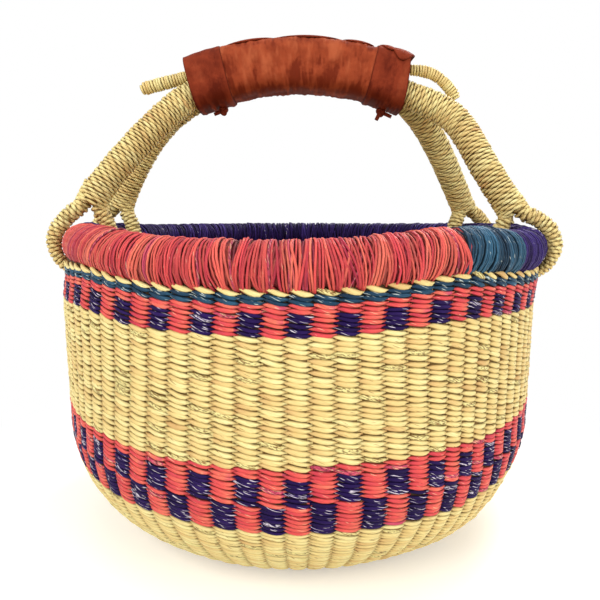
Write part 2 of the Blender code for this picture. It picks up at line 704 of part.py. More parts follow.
def grip(group):
    """Make the leather grip, its bands, seam folds, rod and lace knots."""
    leather_sleeve(
        "grip_sleeve",
        GRIP_LEFT_ANGLE + SLEEVE_SETBACK,
        GRIP_RIGHT_ANGLE - SLEEVE_SETBACK,
        GRIP_STEPS,
        0.0,
        LEATHER_THICKNESS,
        group,
        TAN_LEATHER,
    )
    swell = BAND_THICKNESS + CLEARANCE
    ends = (
        ("grip_band_left", GRIP_LEFT_ANGLE, BAND_LEFT_INNER_ANGLE),
        ("grip_band_right", BAND_RIGHT_INNER_ANGLE, GRIP_RIGHT_ANGLE),
    )
    for name, start, end in ends:
        leather_sleeve(name, start, end, BAND_STEPS, swell, BAND_THICKNESS, group, DARK_LEATHER)
    bulge = [math.sin(math.pi * step / SEAM_STEPS) for step in range(SEAM_STEPS + 1)]
    heights = [SEAM_END_HEIGHT + (SEAM_HEIGHT - SEAM_END_HEIGHT) * share for share in bulge]
    for number, (start, end) in enumerate(zip(SEAM_ANGLES, SEAM_ANGLES[1:]), start=1):
        lens_strip(
            f"grip_seam_fold_{number}",
            start + SEAM_GAP_ANGLE,
            end - SEAM_GAP_ANGLE,
            GRIP_HALF_HEIGHT + CLEARANCE,
            SEAM_HALF_WIDTH,
            heights,
            group,
            DARK_LEATHER,
        )
    fold_heights = [SEAM_END_HEIGHT + (FOLD_HEIGHT - SEAM_END_HEIGHT) * share for share in bulge]
    fold_lift = GRIP_HALF_HEIGHT + swell + CLEARANCE
    lens_strip(
        "right_band_fold",
        FOLD_START_ANGLE,
        FOLD_END_ANGLE,
        fold_lift,
        FOLD_HALF_WIDTH,
        fold_heights,
        group,
        DARK_LEATHER,
    )
    knot("lace_knot_left", LEFT_KNOT_ANGLE, LEFT_KNOT_LEAN, group)
    knot("lace_knot_right", RIGHT_KNOT_ANGLE, RIGHT_KNOT_LEAN, group)
    rod(group)


def build():
    """Build the whole basket."""
    clear_scene()
    group = make_collection(OBJECT_NAME)
    cutters = make_collection("cutters")
    woven_body(group)
    rim(group)
    grown = foot_loops(group, cutters)
    arch("front_arch", FEET[0], FEET[1], group, grown)
    arch("rear_arch", FEET[2], FEET[3], group, grown)
    grip(group)


build()
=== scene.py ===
"""Looks of a round market basket: twined straw wall, wrapped rim, twined handle and leather grip.

Lengths are in metres, and in millimetres where a name ends in _mm.  +Z is up, the front
faces -Y, and an azimuth is measured from the front towards +X.  Each sub-assembly is a
class that holds its sizes, works its surfaces out as whole arrays and gives each piece
its finish.  Straw is modelled strand by strand: two strands of weft twist round each
other and round the stakes, row after row, and the handle is twined the same way.
"""

import logging
import math
from abc import ABC, abstractmethod
from dataclasses import dataclass, field, replace
from enum import Enum

import bpy
import numpy as np
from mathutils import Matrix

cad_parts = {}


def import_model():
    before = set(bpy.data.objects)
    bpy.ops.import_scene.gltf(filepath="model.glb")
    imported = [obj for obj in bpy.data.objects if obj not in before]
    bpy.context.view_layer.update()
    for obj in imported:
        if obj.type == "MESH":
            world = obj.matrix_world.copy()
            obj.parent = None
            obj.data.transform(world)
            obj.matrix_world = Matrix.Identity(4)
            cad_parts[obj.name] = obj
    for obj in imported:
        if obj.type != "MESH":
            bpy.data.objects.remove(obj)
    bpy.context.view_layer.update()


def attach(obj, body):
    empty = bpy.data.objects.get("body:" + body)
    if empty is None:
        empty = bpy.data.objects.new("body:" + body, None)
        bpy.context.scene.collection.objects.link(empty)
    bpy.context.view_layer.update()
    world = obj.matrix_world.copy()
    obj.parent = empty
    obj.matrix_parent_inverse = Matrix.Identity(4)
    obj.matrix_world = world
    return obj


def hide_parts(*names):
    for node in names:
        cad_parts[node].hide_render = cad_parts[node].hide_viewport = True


Array = np.ndarray
Socket = bpy.types.NodeSocket
Sockets = tuple[Socket, ...]
LOG = logging.getLogger("basket")
BODY = "root"
MM = 0.001
FULL_TURN = 2.0 * math.pi
STAKES = 88
RIM_RADIUS = 0.1700
RIM_HEIGHT = 0.2120
RIM_TUBE_RADIUS = 0.0138
LEAF_TURNS = np.radians(np.arange(30.0, 360.0, 60.0))
LACE_TURNS = np.radians(np.arange(0.0, 360.0, 45.0))
STRAW_TWIST = 0.22
FRAYED_TONE = 1.3
# Deepest painted shade that a surface is given, from 0 to 1.
DEEPEST_SHADE = 0.95


def linear(colour: str) -> tuple[float, float, float, float]:
    """Turn an sRGB hex colour into linear red, green, blue and alpha.

    Args:
        colour: six hex digits after a hash sign.

    Returns:
        Four linear values from 0 to 1.
    """
    parts = [int(colour[place : place + 2], 16) / 255.0 for place in (1, 3, 5)]
    return (*[part / 12.92 if part <= 0.04045 else ((part + 0.055) / 1.055) ** 2.4 for part in parts], 1.0)


def unit(vectors: Array) -> Array:
    """Return vectors scaled to length one."""
    return vectors / np.linalg.norm(vectors, axis=-1, keepdims=True)


def around(azimuth: Array, radius: Array, height: Array) -> Array:
    """Return X, Y, Z from azimuth, radius and height: (r sin a, -r cos a, z)."""
    azimuth, radius, height = np.broadcast_arrays(azimuth, radius, height)
    return np.stack((radius * np.sin(azimuth), -radius * np.cos(azimuth), height), axis=-1)


def eased(value: Array, start: float, end: float) -> Array:
    """Return 0 before start, 1 after end, and 3 s^2 - 2 s^3 between them."""
    share = np.clip((value - start) / (end - start), 0.0, 1.0)
    return share * share * (3.0 - 2.0 * share)


def nearest_turn(angle: Array) -> Array:
    """Return angles brought to within half a turn of zero."""
    return (angle + math.pi) % FULL_TURN - math.pi


def travelled(points: Array) -> Array:
    """Return the distance run along a course at each of its points."""
    return np.concatenate(([0.0], np.cumsum(np.linalg.norm(np.diff(points, axis=0), axis=1))))


def run_field(along_mm: Array, across_mm: Array, tone: Array) -> Array:
    """Return what a finish reads at each point: millimetres along and across the strand, and its tone."""
    return np.stack(np.broadcast_arrays(along_mm, across_mm, tone), axis=-1)


def ripple(seed: int, *places: tuple[Array, float], waves: int = 14) -> Array:
    """Return smooth random heights of about unit size.

    The formula is a sum of plane waves, each with a random direction and phase.

    Args:
        seed: picks the directions and phases.
        places: pairs of a coordinate array and the wavelength along it.
        waves: how many waves are summed.

    Returns:
        An array of the broadcast shape of the coordinates.
    """
    rng = np.random.default_rng(seed)
    total = 0.0
    for _ in range(waves):
        phase = rng.uniform(0.0, FULL_TURN)
        for place, wavelength in places:
            phase = phase + rng.normal() * FULL_TURN * place / wavelength
        total = total + np.cos(phase)
    return total * math.sqrt(2.0 / waves)


def bezier(points: Array, share: Array) -> Array:
    """Return points of a cubic Bezier curve with four control points at shares of its course."""
    rest = 1.0 - share
    weights = np.stack((rest**3, 3.0 * rest**2 * share, 3.0 * rest * share**2, share**3), axis=-1)
    return weights @ points


def flowing(points: Array, per_span: int) -> Array:
    """Return a smooth course through points.

    The formula is a Catmull-Rom spline: a cubic between each two points, whose slope at
    a point is half the step from the point before to the point after.

    Args:
        points: the points to pass through.
        per_span: how many points to return for each span.

    Returns:
        Points along the course, ends included.
    """
    padded = np.concatenate((2.0 * points[:1] - points[1:2], points, 2.0 * points[-1:] - points[-2:-1]))
    before, start, end, after = padded[:-3], padded[1:-2], padded[2:-1], padded[3:]
    share = (np.arange(per_span) / per_span)[None, :, None]
    before, start, end, after = (part[:, None, :] for part in (before, start, end, after))
    course = 0.5 * (
        2.0 * start
        + (end - before) * share
        + (2.0 * before - 5.0 * start + 4.0 * end - after) * share**2
        + (3.0 * start - before - 3.0 * end + after) * share**3
    )
    return np.concatenate((course.reshape(-1, points.shape[1]), points[-1:]))


@dataclass
class Skin:
    """Surface of one or more tubes, with what its finish reads at each point.

    Attributes:
        grid: points as tubes, steps along, sides round, X Y Z.
        run: millimetres along and across the strand, and a tone from 0 to 1.
        painted_shade: painted shade, 0 where the surface lies open, 1 where it dives out of sight.
        looped: whether each tube returns to its first step.
    """

    grid: Array
    run: Array | float
    painted_shade: Array | float
    looped: bool = False

    def corners(self, first: int) -> tuple[Array, Array]:
        """Return the vertex numbers of the quads, and of the caps that close open tubes.

        Args:
            first: number of this skin's first vertex in its mesh.

        Returns:
            Quads with four corners each, and caps with as many corners as sides.
        """
        tubes, steps, sides = self.grid.shape[:3]
        index = first + np.arange(tubes * steps * sides).reshape(tubes, steps, sides)
        beside = np.roll(index, -1, axis=2)
        if self.looped:
            ahead, ahead_beside = np.roll(index, -1, axis=1), np.roll(beside, -1, axis=1)
            quads = np.stack((index, beside, ahead_beside, ahead), axis=-1)
            return quads.reshape(-1, 4), np.zeros((0, sides), dtype=int)
        quads = np.stack((index[:, :-1], beside[:, :-1], beside[:, 1:], index[:, 1:]), axis=-1)
        return quads.reshape(-1, 4), np.concatenate((index[:, 0, ::-1], index[:, -1]))


def skin_mesh(name: str, skins: list[Skin]) -> bpy.types.Mesh:
    """Put skins into one smooth-shaded mesh, with their fields as point attributes.

    Args:
        name: name of the mesh.
        skins: the surfaces, in order.

    Returns:
        The new mesh.
    """
    corners, starts, first, start = [], [], 0, 0
    for skin in skins:
        for faces in skin.corners(first):
            corners.append(faces.ravel())
            starts.append(start + np.arange(len(faces)) * faces.shape[1])
            start += faces.size
        first += skin.grid[..., 0].size
    corners, starts = np.concatenate(corners), np.concatenate(starts)
    points = np.concatenate([skin.grid.reshape(-1, 3) for skin in skins])
    mesh = bpy.data.meshes.new(name)
    mesh.vertices.add(len(points))
    mesh.vertices.foreach_set("co", points.astype(np.float32).ravel())
    mesh.loops.add(len(corners))
    mesh.loops.foreach_set("vertex_index", corners.astype(np.int32))
    mesh.polygons.add(len(starts))
    mesh.polygons.foreach_set("loop_start", starts.astype(np.int32))
    mesh.update(calc_edges=True)
    run = np.concatenate([np.broadcast_to(skin.run, skin.grid.shape).reshape(-1, 3) for skin in skins])
    painted_shade = np.concatenate([np.broadcast_to(skin.painted_shade, skin.grid.shape[:3]).ravel() for skin in skins])
    mesh.attributes.new("run", "FLOAT_VECTOR", "POINT").data.foreach_set("vector", run.astype(np.float32).ravel())
    mesh.attributes.new("painted_shade", "FLOAT", "POINT").data.foreach_set("value", painted_shade.astype(np.float32))
    mesh.shade_smooth()
    return mesh


def sweep(
    path: Array, outward: Array, half_thick: Array, half_wide: Array,
    turns: Array = LEAF_TURNS,
) -> tuple[Array, Array]:
    """Carry an oval section along paths.

    The section's thin way follows outward, made square to the path, and its wide way is
    square to both.

    Args:
        path: points as tubes, steps, X Y Z.
        outward: which way the flat of the strand faces at each point.
        half_thick: half the thickness at each point.
        half_wide: half the width at each point.
        turns: angle of each corner of the section from its outer face.

    Returns:
        The grid of points, and the sine of each side's place in the section.
    """
    tangent = unit(np.gradient(path, axis=-2))
    beside = unit(np.cross(tangent, outward))
    normal = np.cross(beside, tangent)
    thick = (half_thick[..., None] * np.cos(turns))[..., None]
    wide = (half_wide[..., None] * np.sin(turns))[..., None]
    grid = path[..., None, :] + thick * normal[..., None, :] + wide * beside[..., None, :]
    return grid, np.broadcast_to(np.sin(turns), grid.shape[:-1])


def laid_straw(
    path: Array, outward: Array, half_thick: float, half_wide: Array,
    along_mm: Array, tone: Array, edge: tuple[float, float], sunk_shade: Array | float = 0.0,
) -> Skin:
    """Return strands of straw laid along paths, with the fields that their finish reads.

    The painted shade is E |s|^p plus the shade for how far the straw is sunk, with s from -1 to 1 across it.

    Args:
        path: points as tubes, steps, X Y Z.
        outward: which way the flat of the straw faces at each point.
        half_thick: half its thickness.
        half_wide: half its width at each point.
        along_mm: millimetres along it.
        tone: its tone.
        edge: how dark the painted shade at its edges is, E, and how narrow it is, p.
        sunk_shade: painted shade for how far it dives out of sight, from 0 to 1.

    Returns:
        The straws' skin.
    """
    grid, side = sweep(path, outward, np.full(half_wide.shape, half_thick), half_wide)
    run = run_field(along_mm[..., None], half_wide[..., None] * side / MM, tone[..., None])
    darkness, power = edge
    # Painted shade: darker at the strand's edges and where it is sunk.
    painted_shade = darkness * np.abs(side) ** power + np.asarray(sunk_shade)[..., None]
    return Skin(grid, run, np.clip(painted_shade, 0.0, DEEPEST_SHADE))


def frayed(tone: Array, chosen: Array) -> Array:
    """Return tones held between 0 and 1, but with the chosen stitches marked as frayed."""
    return np.where(chosen, FRAYED_TONE, np.clip(tone, 0.0, 1.0))


class NodeKit:
    """Short ways to add nodes to a tree.  Most give the socket that comes out."""

    def __init__(self, tree: bpy.types.NodeTree) -> None:
        """Keep the tree."""
        self.tree = tree

    def fill(self, node: bpy.types.Node, inputs: dict) -> None:
        """Set or link a node's inputs to values or sockets, by the name or number of the input."""
        for key, value in inputs.items():
            if isinstance(value, Socket):
                self.tree.links.new(value, node.inputs[key])
            else:
                node.inputs[key].default_value = value

    def add(self, kind: str, inputs: dict | None = None, **settings) -> bpy.types.Node:
        """Add a node, set its properties, and set or link its inputs.

        Args:
            kind: the node's type.
            inputs: values or output sockets by the name or number of the input.
            settings: properties of the node.

        Returns:
            The new node.
        """
        node = self.tree.nodes.new(kind)
        for name, value in settings.items():
            setattr(node, name, value)
        self.fill(node, inputs or {})
        return node

    def maths(self, operation: str, *values) -> Socket:
        """Return an operation on values or sockets."""
        return self.add("ShaderNodeMath", dict(enumerate(values)), operation=operation).outputs[0]

    def ramp(self, value: Socket, start: float, end: float, peak: float = 1.0) -> Socket:
        """Return 0 at start and peak at end, with a straight rise between them."""
        return self.add("ShaderNodeMapRange", {0: value, 1: start, 2: end, 4: peak}).outputs[0]

    def mix(self, share: Socket, first, second) -> Socket:
        """Return a mix of two colours: all first at share 0, all second at share 1."""
        return self.add("ShaderNodeMix", {0: share, 6: first, 7: second}, data_type="RGBA").outputs[2]

    def noise(self, place: Socket, detail: float, scale: float = 1.0, roughness: float = 0.5) -> Socket:
        """Return smooth noise at a place."""
        inputs = {"Vector": place, "Scale": scale, "Detail": detail, "Roughness": roughness}
        return self.add("ShaderNodeTexNoise", inputs).outputs[0]

    def stretched(self, values: Sockets, sizes: tuple[float, ...]) -> Socket:
        """Return a place whose coordinates are the values, each measured in a size of its own."""
        scaled = [self.maths("MULTIPLY", value, 1.0 / size) for value, size in zip(values, sizes)]
        return self.add("ShaderNodeCombineXYZ", dict(enumerate(scaled))).outputs[0]

    def attribute(self, name: str, output: str) -> Socket:
        """Return a field of the mesh."""
        return self.add("ShaderNodeAttribute", attribute_name=name).outputs[output]


def set_stops(ramp: bpy.types.ColorRamp, stops: tuple[tuple[float, str], ...]) -> None:
    """Give a colour ramp its places and hex colours."""
    while len(ramp.elements) < len(stops):
        ramp.elements.new(1.0)
    for element, (place, colour) in zip(ramp.elements, stops):
        element.position = place
        element.color = linear(colour)


def new_material(name: str) -> tuple[bpy.types.Material, NodeKit, bpy.types.Node]:
    """Return a new material, a kit for its nodes, and its Principled shader."""
    material = bpy.data.materials.new(name)
    material.use_nodes = True
    return material, NodeKit(material.node_tree), material.node_tree.nodes["Principled BSDF"]


@dataclass(frozen=True, kw_only=True)
class Finish(ABC):
    """Look of a material: its name, its slot in the record, its shine and the depth of its fine relief."""

    name: str
    slot: str
    roughness: float
    gloss: float
    relief: float
    relief_strength: float

    @abstractmethod
    def paint(self, kit: NodeKit, run: Sockets, painted_shade: Socket) -> Sockets:
        """Add the nodes of this look.

        Args:
            kit: adds the nodes.
            run: the three parts of the run field.
            painted_shade: the field of painted shade.

        Returns:
            The colour, and the height of the fine relief.
        """

    def material(self) -> bpy.types.Material:
        """Return the node material of this finish, made once."""
        known = bpy.data.materials.get(self.name)
        if known is not None:
            return known
        material, kit, shader = new_material(self.name)
        run = tuple(kit.add("ShaderNodeSeparateXYZ", {0: kit.attribute("run", "Vector")}).outputs)
        colour, height = self.paint(kit, run, kit.attribute("painted_shade", "Fac"))
        bump = kit.add("ShaderNodeBump", {"Height": height, "Distance": self.relief, "Strength": self.relief_strength})
        kit.fill(shader, {
            "Base Color": colour, "Normal": bump.outputs[0],
            "Roughness": self.roughness, "Specular IOR Level": self.gloss,
        })
        return material


@dataclass(frozen=True, kw_only=True)
class StrawFinish(Finish):
    """Grass straw, split and twisted by hand: satin fibres that run along each strand.

    Fibres of real straw are about 0.1 mm.  They are drawn 0.4 mm wide here, the finest
    that shows in the render.  Pale slivers are where the dye missed the straw's shiny
    skin, and flecks are the broken ends of a frayed straw.  Each streak has a length and
    a width, and a ramp runs from where it starts to show to where it shows in full.
    Where the straw dives into the weave and along its edges, it is darkened towards its
    painted shade colour, which is painted shade.  The same colour also paints the flecks.
    """

    tones: tuple[tuple[float, str], ...]
    fibre: str
    fibre_share: float
    sliver: str
    sliver_start: float
    painted_shade: str
    roughness: float = 0.52
    gloss: float = 0.30
    relief: float = 0.35 * MM
    relief_strength: float = 0.6
    streak_roughness: float = 0.6
    fibre_size_mm: tuple[float, float] = (7.0, 0.40)
    fibre_ramp: tuple[float, float] = (0.42, 0.66)
    sliver_size_mm: tuple[float, float] = (6.5, 0.66)
    sliver_rise: float = 0.03
    sliver_share: float = 0.85
    frayed_slivers: float = 0.17
    fleck_size_mm: tuple[float, float] = (2.2, 0.65)
    fleck_ramp: tuple[float, float, float] = (0.50, 0.60, 0.85)

    def paint(self, kit: NodeKit, run: Sockets, painted_shade: Socket) -> Sockets:
        """Lay fibres over the straw's tone, then slivers, then flecks and painted shade; the fibres give the relief."""
        tone = run[2]
        dye = kit.add("ShaderNodeValToRGB", {0: tone})
        set_stops(dye.color_ramp, self.tones)
        fibres = self.streaks(kit, run, self.fibre_size_mm, 1.0)
        colour = kit.mix(kit.ramp(fibres, *self.fibre_ramp, self.fibre_share), dye.outputs[0], linear(self.fibre))
        slivers = self.streaks(kit, run, self.sliver_size_mm, 0.0)
        slivers = kit.maths("ADD", slivers, kit.ramp(tone, 1.0, FRAYED_TONE, self.frayed_slivers))
        slivers = kit.ramp(slivers, self.sliver_start, self.sliver_start + self.sliver_rise, self.sliver_share)
        colour = kit.mix(slivers, colour, linear(self.sliver))
        flecks = kit.ramp(self.streaks(kit, run, self.fleck_size_mm, 1.0), *self.fleck_ramp)
        flecks = kit.maths("MULTIPLY", flecks, kit.ramp(tone, 1.0, FRAYED_TONE))
        # Painted shade: the straw is mixed towards its shade colour by the painted shade field, and by the flecks.
        return kit.mix(kit.maths("MAXIMUM", painted_shade, flecks), colour, linear(self.painted_shade)), fibres

    def streaks(self, kit: NodeKit, run: Sockets, size_mm: tuple[float, float], detail: float) -> Socket:
        """Return noise drawn out along the strand, and slanted by the strand's twist."""
        twisted = kit.maths("MULTIPLY_ADD", run[0], STRAW_TWIST, run[1])
        return kit.noise(kit.stretched((run[0], twisted), size_mm), detail, roughness=self.streak_roughness)


@dataclass(frozen=True, kw_only=True)
class LeatherFinish(Finish):
    """Goat leather put on wet and dried tight: matt and soft, mottled, and paler where rubbed.
    It is darkened as painted shade in its creases, on the grip's underside and along its cut edges.

    Each ramp runs from where a colour starts to show, to where it shows in full, and then
    gives its greatest share.
    """

    body: str
    dark: str
    rubbed: str
    leather_shade: str
    roughness: float = 0.72
    gloss: float = 0.08
    relief: float = 0.3 * MM
    relief_strength: float = 0.5
    grain_mm: float = 0.9
    grain_share: float = 0.35
    mottle_mm: float = 8.0
    mottle_ramp: tuple[float, float, float] = (0.35, 0.70, 0.60)
    scuff_size_mm: tuple[float, float] = (2.6, 5.0)
    rubbed_ramp: tuple[float, float, float] = (0.60, 1.35, 0.60)
    crease_shade_ramp: tuple[float, float, float] = (0.36, -0.10, 0.85)

    def paint(self, kit: NodeKit, run: Sockets, painted_shade: Socket) -> Sockets:
        """Mottle the leather, rub its heights, and paint shade in its creases, on the underside and along its cut
        edges; grain and scuffs give the relief.
        """
        along, beside, bump = run
        place = kit.add("ShaderNodeTexCoord").outputs["Object"]
        mottle = kit.noise(place, 4.0, 1.0 / (self.mottle_mm * MM))
        colour = kit.mix(kit.ramp(mottle, *self.mottle_ramp), linear(self.body), linear(self.dark))
        scuffs = kit.noise(kit.stretched((along, beside), self.scuff_size_mm), 3.0)
        height = kit.maths("ADD", bump, scuffs)
        colour = kit.mix(kit.ramp(height, *self.rubbed_ramp), colour, linear(self.rubbed))
        # Painted shade in the creases, and on the grip's underside where the bump is lowered.
        colour = kit.mix(kit.ramp(height, *self.crease_shade_ramp), colour, linear(self.dark))
        # Painted shade along cut edges, under folds and over the lace knots.
        colour = kit.mix(painted_shade, colour, linear(self.leather_shade))
        grain = kit.add("ShaderNodeTexVoronoi", {"Vector": place, "Scale": 1.0 / (self.grain_mm * MM)})
        return colour, kit.maths("MULTIPLY_ADD", grain.outputs["Distance"], self.grain_share, scuffs)


# Each straw's painted_shade colour is what its painted shade darkens towards; its frayed flecks take it too.
NATURAL = StrawFinish(
    name="undyed_grass_straw_twined",
    slot="natural_straw",
    tones=((0.0, "#d8ae70"), (0.25, "#e7ca84"), (0.5, "#f1dc94"), (0.8, "#f8eca8"), (1.0, "#efe59c")),
    fibre="#cba35c",
    fibre_share=0.34,
    sliver="#8f6530",
    sliver_start=0.76,
    painted_shade="#6e4c1a",
)
# A darker copy of the undyed straw: painted shade for the straws inside the weave, the rim and the arches.
SHADED_STRAW = StrawFinish(
    name="undyed_grass_straw_in_painted_shade",
    slot="bare_straw",
    tones=((0.0, "#9a7638"), (1.0, "#b8945a")),
    fibre="#7c5a28",
    fibre_share=0.60,
    sliver="#573c17",
    sliver_start=0.66,
    painted_shade="#3a240a",
    roughness=0.65,
)
RED = StrawFinish(
    name="coral_dyed_grass_straw",
    slot="red_straw",
    tones=((0.0, "#b82b45"), (0.22, "#d9424b"), (0.5, "#ec5850"), (0.8, "#f87e62"), (1.0, "#d34c6c")),
    fibre="#a8263a",
    fibre_share=0.50,
    sliver="#f6b894",
    sliver_start=0.74,
    painted_shade="#4a0812",
)
RED_WOUND = replace(RED, name="coral_dyed_grass_straw_wound", sliver_start=0.78, fibre_share=0.42)
PURPLE = StrawFinish(
    name="purple_dyed_grass_straw",
    slot="purple_straw",
    tones=((0.0, "#180a36"), (0.5, "#230f4a"), (1.0, "#331c62")),
    fibre="#140830",
    fibre_share=0.55,
    sliver="#e6dce6",
    sliver_start=0.69,
    painted_shade="#080216",
    gloss=0.10,
)
PURPLE_WOUND = replace(
    PURPLE,
    name="purple_dyed_grass_straw_wound",
    tones=((0.0, "#1e0f42"), (0.5, "#2e195a"), (1.0, "#483484")),
    sliver_start=0.82,
)
TEAL = StrawFinish(
    name="teal_dyed_grass_straw",
    slot="teal_straw",
    tones=((0.0, "#0e2840"), (0.5, "#1b445f"), (1.0, "#3b7090")),
    fibre="#0a1c2e",
    fibre_share=0.60,
    sliver="#ced8d0",
    sliver_start=0.69,
    painted_shade="#030b14",
    gloss=0.20,
)
TEAL_WOUND = replace(TEAL, name="teal_dyed_grass_straw_wound", sliver_start=0.75)
TAN_LEATHER = LeatherFinish(
    name="goat_leather_wet_formed",
    slot="tan_leather",
    body="#9c4527",
    dark="#6c2410",
    rubbed="#b8603c",
    leather_shade="#54190c",
)
DARK_LEATHER = LeatherFinish(
    name="goat_leather_wet_formed_dark",
    slot="dark_leather",
    body="#87351d",
    dark="#561809",
    rubbed="#a24c2e",
    leather_shade="#46140a",
)


def new_object(name: str, data: bpy.types.ID) -> bpy.types.Object:
    """Return a new object, linked to the scene."""
    made = bpy.data.objects.new(name, data)
    bpy.context.scene.collection.objects.link(made)
    return made


def add_piece(name: str, skins: list[Skin], finish: Finish, nodes: tuple[str, ...] = ()) -> None:
    """Make a piece from skins, give it its finish, and let it stand for solids of the frame.

    Args:
        name: name of the piece.
        skins: its surfaces.
        finish: what it is made of.
        nodes: solids that it stands for.
    """
    mesh = skin_mesh(name, skins)
    mesh.materials.append(finish.material())
    piece = new_object(name, mesh)
    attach(piece, BODY)
    if nodes:
        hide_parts(*nodes)
    LOG.info("%s: %d triangles", name, sum(skin.grid[..., 0].size * 2 for skin in skins))


@dataclass(frozen=True)
class Foot:
    """One foot of the handle: where it stands on the rim, and how its arch leaves the grip."""

    name: str
    stake: float
    side: int
    face: int
    fork_distance: float
    slack: float
    grip_reach: float
    foot_reach: float
    foot_slope: float

    @property
    def azimuth(self) -> float:
        """Azimuth of the foot."""
        return FULL_TURN * self.stake / STAKES

    @property
    def outward(self) -> Array:
        """Level direction from the middle of the basket to the foot."""
        return np.array((math.sin(self.azimuth), -math.cos(self.azimuth), 0.0))

    @property
    def along(self) -> Array:
        """Level direction along the rim at the foot."""
        return np.array((math.cos(self.azimuth), math.sin(self.azimuth), 0.0))


FEET = (
    Foot("front_left", -18.0, -1, -1, 0.0334, 0.0012, 0.0167, 0.0262, math.radians(62.0)),
    Foot("front_right", 18.0, 1, -1, 0.0262, 0.0012, 0.0640, 0.0840, math.radians(54.0)),
    Foot("rear_left", -25.0, -1, 1, 0.0310, 0.0003, 0.0080, 0.0780, math.radians(65.5)),
    Foot("rear_right", 27.5, 1, 1, 0.0290, 0.0003, 0.0270, 0.0240, math.radians(51.0)),
)


@dataclass(frozen=True)
class Pull:
    """Smooth push on one side of the basket: its azimuth and spread in degrees, and its amount."""

    centre: float
    spread: float
    amount: float

    def at(self, azimuth: Array) -> Array:
        """Return the push at azimuths: a bell, amount times exp(-(away / spread)^2)."""
        away = nearest_turn(azimuth - math.radians(self.centre))
        return self.amount * np.exp(-((away / math.radians(self.spread)) ** 2))


def pulled(pulls: tuple[Pull, ...], azimuth: Array) -> Array:
    """Return the sum of pushes at azimuths."""
    return sum(pull.at(azimuth) for pull in pulls)


@dataclass(frozen=True)
class Saddle:
    """Rise of the sides and fall of front and back: the handle pulls the rim up at its feet."""

    sag: float = -1.8 * MM
    tilt: float = 0.6 * MM
    rim_pulls: tuple[Pull, ...] = (
        Pull(-66.0, 27.0, 4.8 * MM), Pull(-46.0, 12.0, 2.8 * MM),
        Pull(31.0, 18.0, 5.5 * MM), Pull(80.0, 24.0, 2.4 * MM),
        Pull(-102.3, 22.0, 1.8 * MM), Pull(112.5, 22.0, 1.8 * MM),
    )
    rim_shifts: tuple[Pull, ...] = (Pull(-78.0, 28.0, -3.4 * MM), Pull(66.0, 18.0, 1.0 * MM))
    wall_pulls: tuple[Pull, ...] = (Pull(-80.0, 35.0, 4.5 * MM), Pull(80.0, 30.0, 3.5 * MM))
    wall_start: float = 0.100
    wall_end: float = 0.200
    floor_start: float = 0.010
    floor_end: float = 0.050

    def rim(self, azimuth: Array) -> Array:
        """Return how far the rim lies over its level ring."""
        return self.sag + self.tilt * np.cos(azimuth) + pulled(self.rim_pulls, azimuth)

    def shift(self, azimuth: Array) -> Array:
        """Return how far the rim lies outside its true ring."""
        return pulled(self.rim_shifts, azimuth)

    def wall(self, azimuth: Array, height: Array) -> Array:
        """Return how far a point of the wall lies over its level ring, from none at the floor to the rim's rise."""
        high = eased(height, self.wall_start, self.wall_end)
        low = eased(height, self.floor_start, self.floor_end)
        return high * self.rim(azimuth) + (1.0 - high) * low * pulled(self.wall_pulls, azimuth)


SADDLE = Saddle()


@dataclass(frozen=True)
class Weft:
    """Sizes of a pair of weft strands that twist round the stakes, and how uneven the hand leaves them."""

    swing: float = 1.70 * MM
    puff: float = 0.50 * MM
    cross: float = 0.90 * MM
    bow: float = 0.16 * MM
    half_thick: float = 1.00 * MM
    half_high: float = 1.80 * MM
    pinch: float = 0.42
    shade: float = 0.60
    shade_power: float = 6.0
    fullness: float = 0.6
    uneven_cross: float = 0.22
    uneven_lift: float = 0.18 * MM
    uneven_swing: float = 0.16 * MM
    uneven_height: float = 0.07


@dataclass(frozen=True)
class Zone:
    """A stretch of weave between two reaches along the wall, and how many rows fill it.

    Its rows are turns of one spiral, which starts and ends at the jog stake.
    """

    name: str
    start: float
    end: float
    rows: float
    weft: Weft
    stakes: int = STAKES
    jog_stake: float = 0.5
    steps: int = 6


